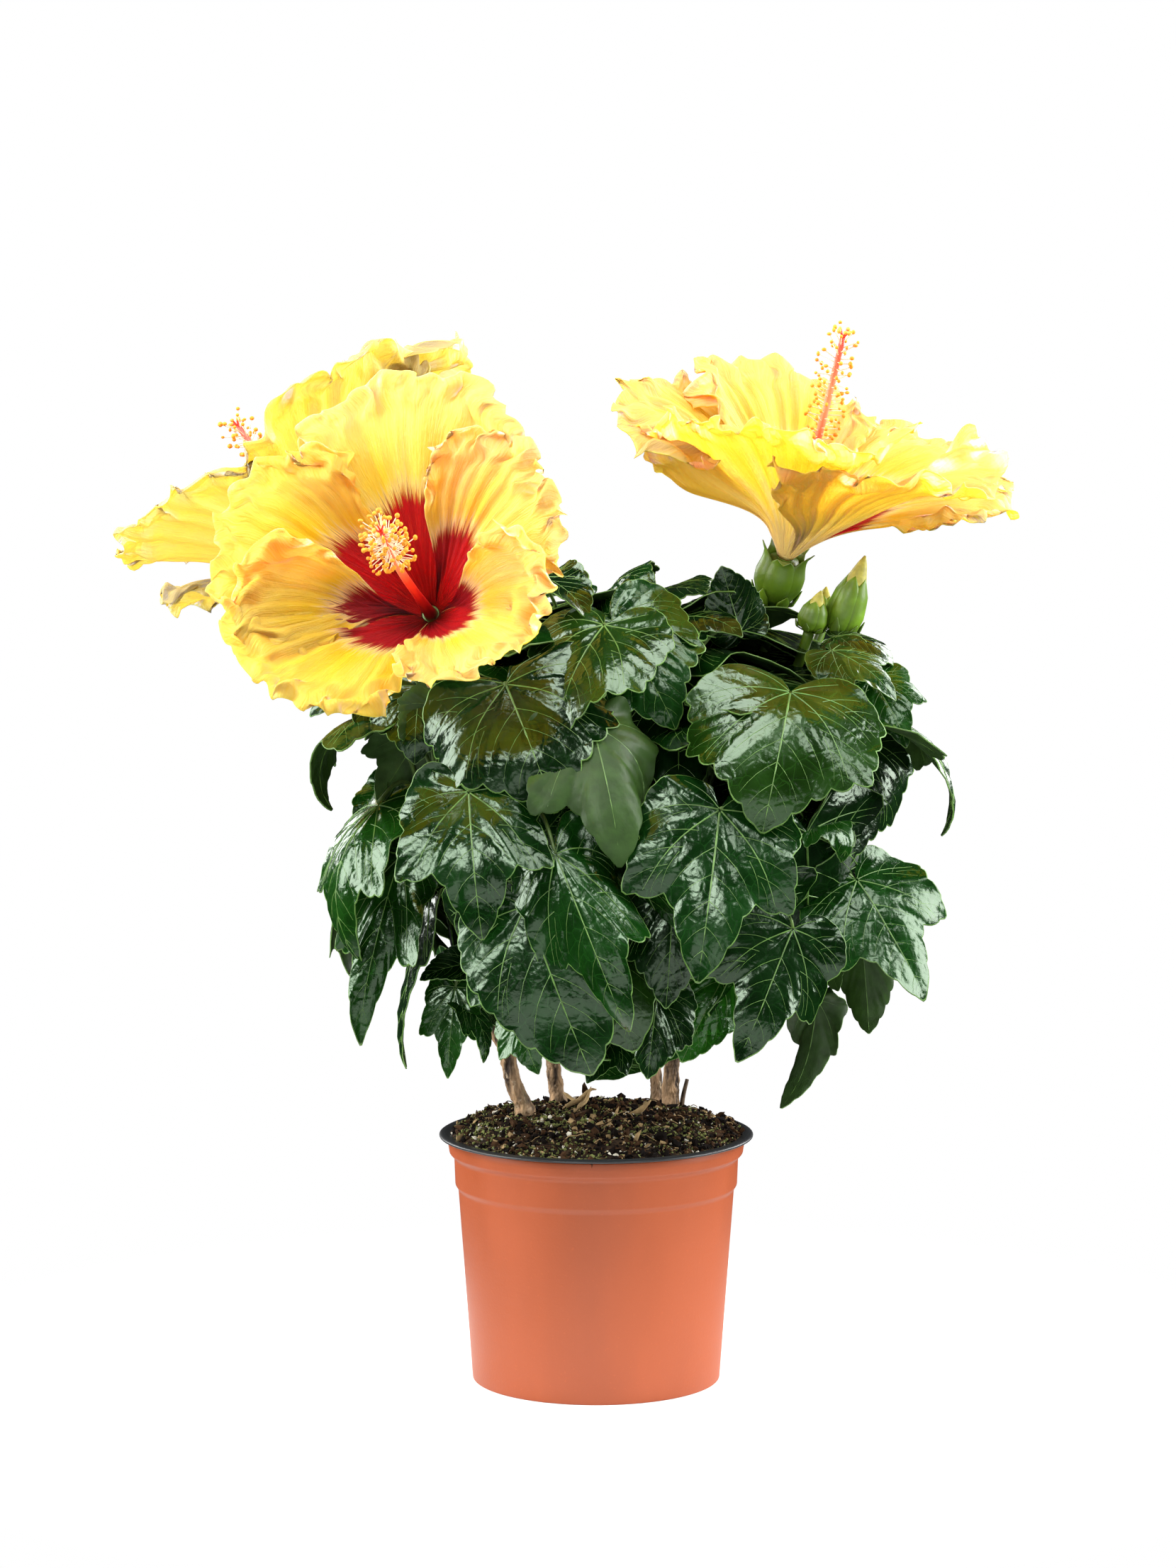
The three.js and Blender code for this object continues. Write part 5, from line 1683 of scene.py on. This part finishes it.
class HIBISCUS_OT_calyces(bpy.types.Operator):
    """Make the calyx, outer bracts and stalk under each bloom"""

    bl_idname = "hibiscus.calyces"
    bl_label = "Calyces"

    def execute(self, context):
        settings = context.scene.hibiscus_blooms
        tones = [sepal_material("Sepal", settings.sepal),
                 sepal_material("Stalk", [c * 1.25 for c in settings.sepal])]
        sheet = two_sided_sheet(*SEPAL_CORNERS)
        depth = 22 * MM
        share = np.linspace(0.0, 0.97, 14)
        stations = [(0.0, 2.2), (0.08, 5.6), (0.3, 7.9), (0.6, 8.3), (0.85, 7.2), (0.97, 5.6)]
        radius = np.interp(share, *zip(*stations)) * MM
        for name in BLOOMS:
            plan = bloom_plan(name)
            made = Gather()
            cup = Cup(plan["base"] - plan["axis"] * depth, plan["axis"])
            path = cup.base + np.outer(share * depth, cup.axis)
            made.tube(path, radius, 30, relief=lambda angle, at: 1 + 0.05 * np.cos(SEPALS * angle))
            whorl(made, sheet, cup, SEPALS, 0.3, 6.0 * MM, self.sepal, (MM, MM), 0)
            whorl(made, sheet, cup, BRACTS, 0, 2.2 * MM, self.outer_bract, (MM, MM), 1)
            stalk_below(made, cup, plan["calyx"], plan["base"], 9, np.linspace(2.7, 2.2, 14), 12, 1)
            node = f"bloom_{name}_calyx"
            made.make(node + "_cup", tones, "calyx", [node])
        return {"FINISHED"}

    def sepal(self, k):
        """A sepal lies against the petals and its point turns out a little."""
        flare = SEPAL_FLARES[k]
        return [(0, 6.0, 3), (0.35, 8.9, 10), (0.52, 9.1, 14.5), (0.7, 8.1, 19), (0.85, 8.5, 23),
                (1, 10.4 + 2.4 * flare, 28 - 1.2 * flare)]

    def outer_bract(self, k):
        return [(0, 3.0, 0.2), (0.4, 8.3, 2.4), (1, 10.5, 8.5 + k % 2)]


class HIBISCUS_OT_buds(bpy.types.Operator):
    """Make the flower buds"""

    bl_idname = "hibiscus.buds"
    bl_label = "Buds"

    def execute(self, context):
        settings = context.scene.hibiscus_blooms
        tones = [sepal_material("BudSepal", [c * 1.5 for c in settings.sepal]),
                 mottled("BudPetal", (0.496, 0.48, 0.08), 0.5),
                 sepal_material("BudBract", settings.sepal)]
        sheet = two_sided_sheet(*BUD_SEPAL_CORNERS)
        for name in BUDS:
            points = node_points(name)
            tip = points[points[:, 2].argmax()]
            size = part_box(name)
            upper = points[points[:, 2] > tip[2] - 0.5 * (size[1].z - size[0].z)]
            axis = unit(tip - upper.mean(0))
            width = 0.8 * np.max(np.linalg.norm(np.cross(upper - tip, axis), axis=1))
            length = width * (5.2 if name == "bud_large" else 3.4)
            cup = Cup(tip - axis * length, axis)
            self.bud(name, cup, length, width, sheet, points, tones)
        return {"FINISHED"}

    def bud(self, name, cup, length, width, sheet, points, tones):
        made = Gather()
        rings, sides = 22, 20
        share = np.linspace(0, 1, rings)
        stations = [(0, 0.2), (0.04, 0.5), (0.14, 0.84), (0.32, 1), (0.5, 0.9), (0.72, 0.62), (0.9, 0.3),
                    (1, 0.06)]
        profile = np.interp(share, *zip(*stations))
        path = cup.base + np.outer(share * length, cup.axis)

        def twisted(angle, at):
            return 1 + 0.07 * np.abs(np.cos(2.5 * (angle + 1.4 * at)))
        # The rolled petals show above the sepals. The last two faces close the ends.
        ring = np.append(np.arange(sides * (rings - 1)) // sides, (0, 0))
        made.tube(path, profile * width * 0.94, sides, np.where(ring > rings * 0.6, 1, 0), twisted)
        whorl(made, sheet, cup, SEPALS, 0, width * 0.72, self.sepal, (width, length), 0)
        whorl(made, sheet, cup, BRACTS, 0.2, width * 0.24, self.outer_bract, (width, length), 2)
        tip = cup.base + cup.axis * length
        stalk_below(made, cup, points, tip, 6, np.linspace(2.3, 1.9, 12), 10, 2)
        made.make(name + "_closed", tones, "calyx", [name])

    def sepal(self, k):
        return [(0, 0.9, 0.1), (0.3, 1.04, 0.3), (0.7, 0.84, 0.56), (1, 0.52, 0.76)]

    def outer_bract(self, k):
        return [(0, 0.35, 0.0), (0.4, 1.06, 0.07), (1, 1.3, 0.24 + 0.03 * (k % 2))]


# ---------------------------------------------------------------- stage


CAMERA_DIP = 5.65  # degrees below level
FOCAL_LENGTH = 96.1
AIM = (0, 0, 0.22)  # what the softboxes face
# Name, place, width, height and share of the power of each softbox.
SOFTBOXES = (
    ("KeyLeft", (-1.5, -0.3, 0.85), 0.8, 1.3, 1.0),
    ("KeyRight", (1.5, -0.15, 0.8), 0.8, 1.3, 0.95),
    ("Overhead", (-0.2, -0.45, 1.75), 0.8, 0.8, 0.5),
    ("FrontFill", (-0.45, -2.2, 1.4), 0.7, 0.7, 0.15),
    ("Bounce", (0.1, -1.0, 0.06), 1.2, 0.4, 0.06),
    ("BackLeft", (-1.1, 1.2, 0.9), 0.7, 1.0, 0.4),
    ("BackRight", (1.15, 1.15, 0.9), 0.7, 1.0, 0.48),
    ("BloomFill", (0.75, -1.0, 1.6), 0.6, 0.6, 0.2),
    ("SheenFront", (-0.5, -1.3, 1.1), 0.6, 0.45, 0.24),
)


class HIBISCUS_OT_stage(bpy.types.Operator):
    """Set up the camera, the pale floor and the soft studio light"""

    bl_idname = "hibiscus.stage"
    bl_label = "Stage"

    def execute(self, context):
        scene = context.scene
        settings = scene.hibiscus_stage
        camera = bpy.data.cameras.new("Camera")
        camera.lens, camera.sensor_width = FOCAL_LENGTH, 36
        camera.clip_start, camera.clip_end = 0.05, 60
        view = bpy.data.objects.new("Camera", camera)
        view.location = EYE
        view.rotation_euler = (math.radians(90 - CAMERA_DIP), 0, 0)
        scene.collection.objects.link(view)
        scene.camera = view

        # The backdrop is seen as white, and lights the plant less than it shows.
        world = bpy.data.worlds.new("Studio")
        world.use_nodes = True
        tree = world.node_tree
        sky = tree.nodes["Background"]
        sky.inputs["Color"].default_value = (1, 1, 1, 1)
        path = add_node(tree, "ShaderNodeLightPath").outputs
        extra = maths(tree, "MULTIPLY", path["Is Camera Ray"], settings.backdrop - settings.ambient)
        less = maths(tree, "MULTIPLY", path["Is Glossy Ray"], settings.shine - settings.ambient)
        strength = maths(tree, "ADD", maths(tree, "ADD", extra, less), settings.ambient)
        tree.links.new(strength, sky.inputs["Strength"])
        scene.world = world
        scene.view_settings.view_transform = "Standard"

        bm = bmesh.new()
        bmesh.ops.create_grid(bm, x_segments=2, y_segments=2, size=2)
        mesh = bpy.data.meshes.new("Floor")
        bm.to_mesh(mesh)
        bm.free()
        mesh.materials.append(new_material("PaleFloor", (0.9, 0.9, 0.9), 0.9, self.fade_out))
        floor = bpy.data.objects.new("Floor", mesh)
        scene.collection.objects.link(floor)

        for name, place, width, height, share in SOFTBOXES:
            lamp = bpy.data.lights.new(name, "AREA")
            lamp.shape, lamp.size, lamp.size_y = "RECTANGLE", width, height
            lamp.energy = settings.softbox * share
            light = bpy.data.objects.new(name, lamp)
            light.location = place
            light.rotation_euler = (Vector(AIM) - light.location).to_track_quat("-Z", "Y").to_euler()
            light.visible_camera = False
            light.visible_diffuse = not name.startswith("Sheen")
            scene.collection.objects.link(light)
        return {"FINISHED"}

    def fade_out(self, tree, shader, place):
        """Lets the floor fade into the backdrop away from the pot."""
        reach = add_node(tree, "ShaderNodeVectorMath", {0: place}, operation="LENGTH").outputs["Value"]
        connect(tree, shader, Alpha=spread(tree, reach, 0.07, 0.32, 1.0, 0.0))


# ---------------------------------------------------------------- panel and registration


class HIBISCUS_PT_panel(bpy.types.Panel):
    """Lists the steps that build the plant"""

    bl_label = "Potted Hibiscus"
    bl_idname = "HIBISCUS_PT_panel"
    bl_space_type = "VIEW_3D"
    bl_region_type = "UI"
    bl_category = "Hibiscus"

    def draw(self, context):
        layout = self.layout
        for group, steps in STEPS:
            box = layout.box()
            settings = getattr(context.scene, group)
            for key in type(settings).__annotations__:
                box.prop(settings, key)
            for step in steps:
                box.operator(step)


GROUPS = {
    "hibiscus_stage": StageSettings,
    "hibiscus_pot": PotSettings,
    "hibiscus_peat": PeatSettings,
    "hibiscus_wood": WoodSettings,
    "hibiscus_leaves": LeafSettings,
    "hibiscus_blooms": BloomSettings,
}
STEPS = (
    ("hibiscus_stage", ("hibiscus.stage",)),
    ("hibiscus_pot", ("hibiscus.pot",)),
    ("hibiscus_peat", ("hibiscus.peat",)),
    ("hibiscus_wood", ("hibiscus.stems",)),
    ("hibiscus_leaves", ("hibiscus.foliage",)),
    ("hibiscus_blooms", ("hibiscus.petals", "hibiscus.columns", "hibiscus.calyces", "hibiscus.buds")),
)
CLASSES = (
    *GROUPS.values(),
    HIBISCUS_OT_stage,
    HIBISCUS_OT_pot,
    HIBISCUS_OT_peat,
    HIBISCUS_OT_stems,
    HIBISCUS_OT_foliage,
    HIBISCUS_OT_petals,
    HIBISCUS_OT_columns,
    HIBISCUS_OT_calyces,
    HIBISCUS_OT_buds,
    HIBISCUS_PT_panel,
)


def register():
    for cls in CLASSES:
        bpy.utils.register_class(cls)
    for name, group in GROUPS.items():
        setattr(bpy.types.Scene, name, PointerProperty(type=group))


def unregister():
    for name in GROUPS:
        delattr(bpy.types.Scene, name)
    for cls in reversed(CLASSES):
        bpy.utils.unregister_class(cls)


def main():
    register()
    for _, steps in STEPS:
        for step in steps:
            group, name = step.split(".")
            getattr(getattr(bpy.ops, group), name)()
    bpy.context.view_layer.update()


if __name__ == "__main__":
    main()
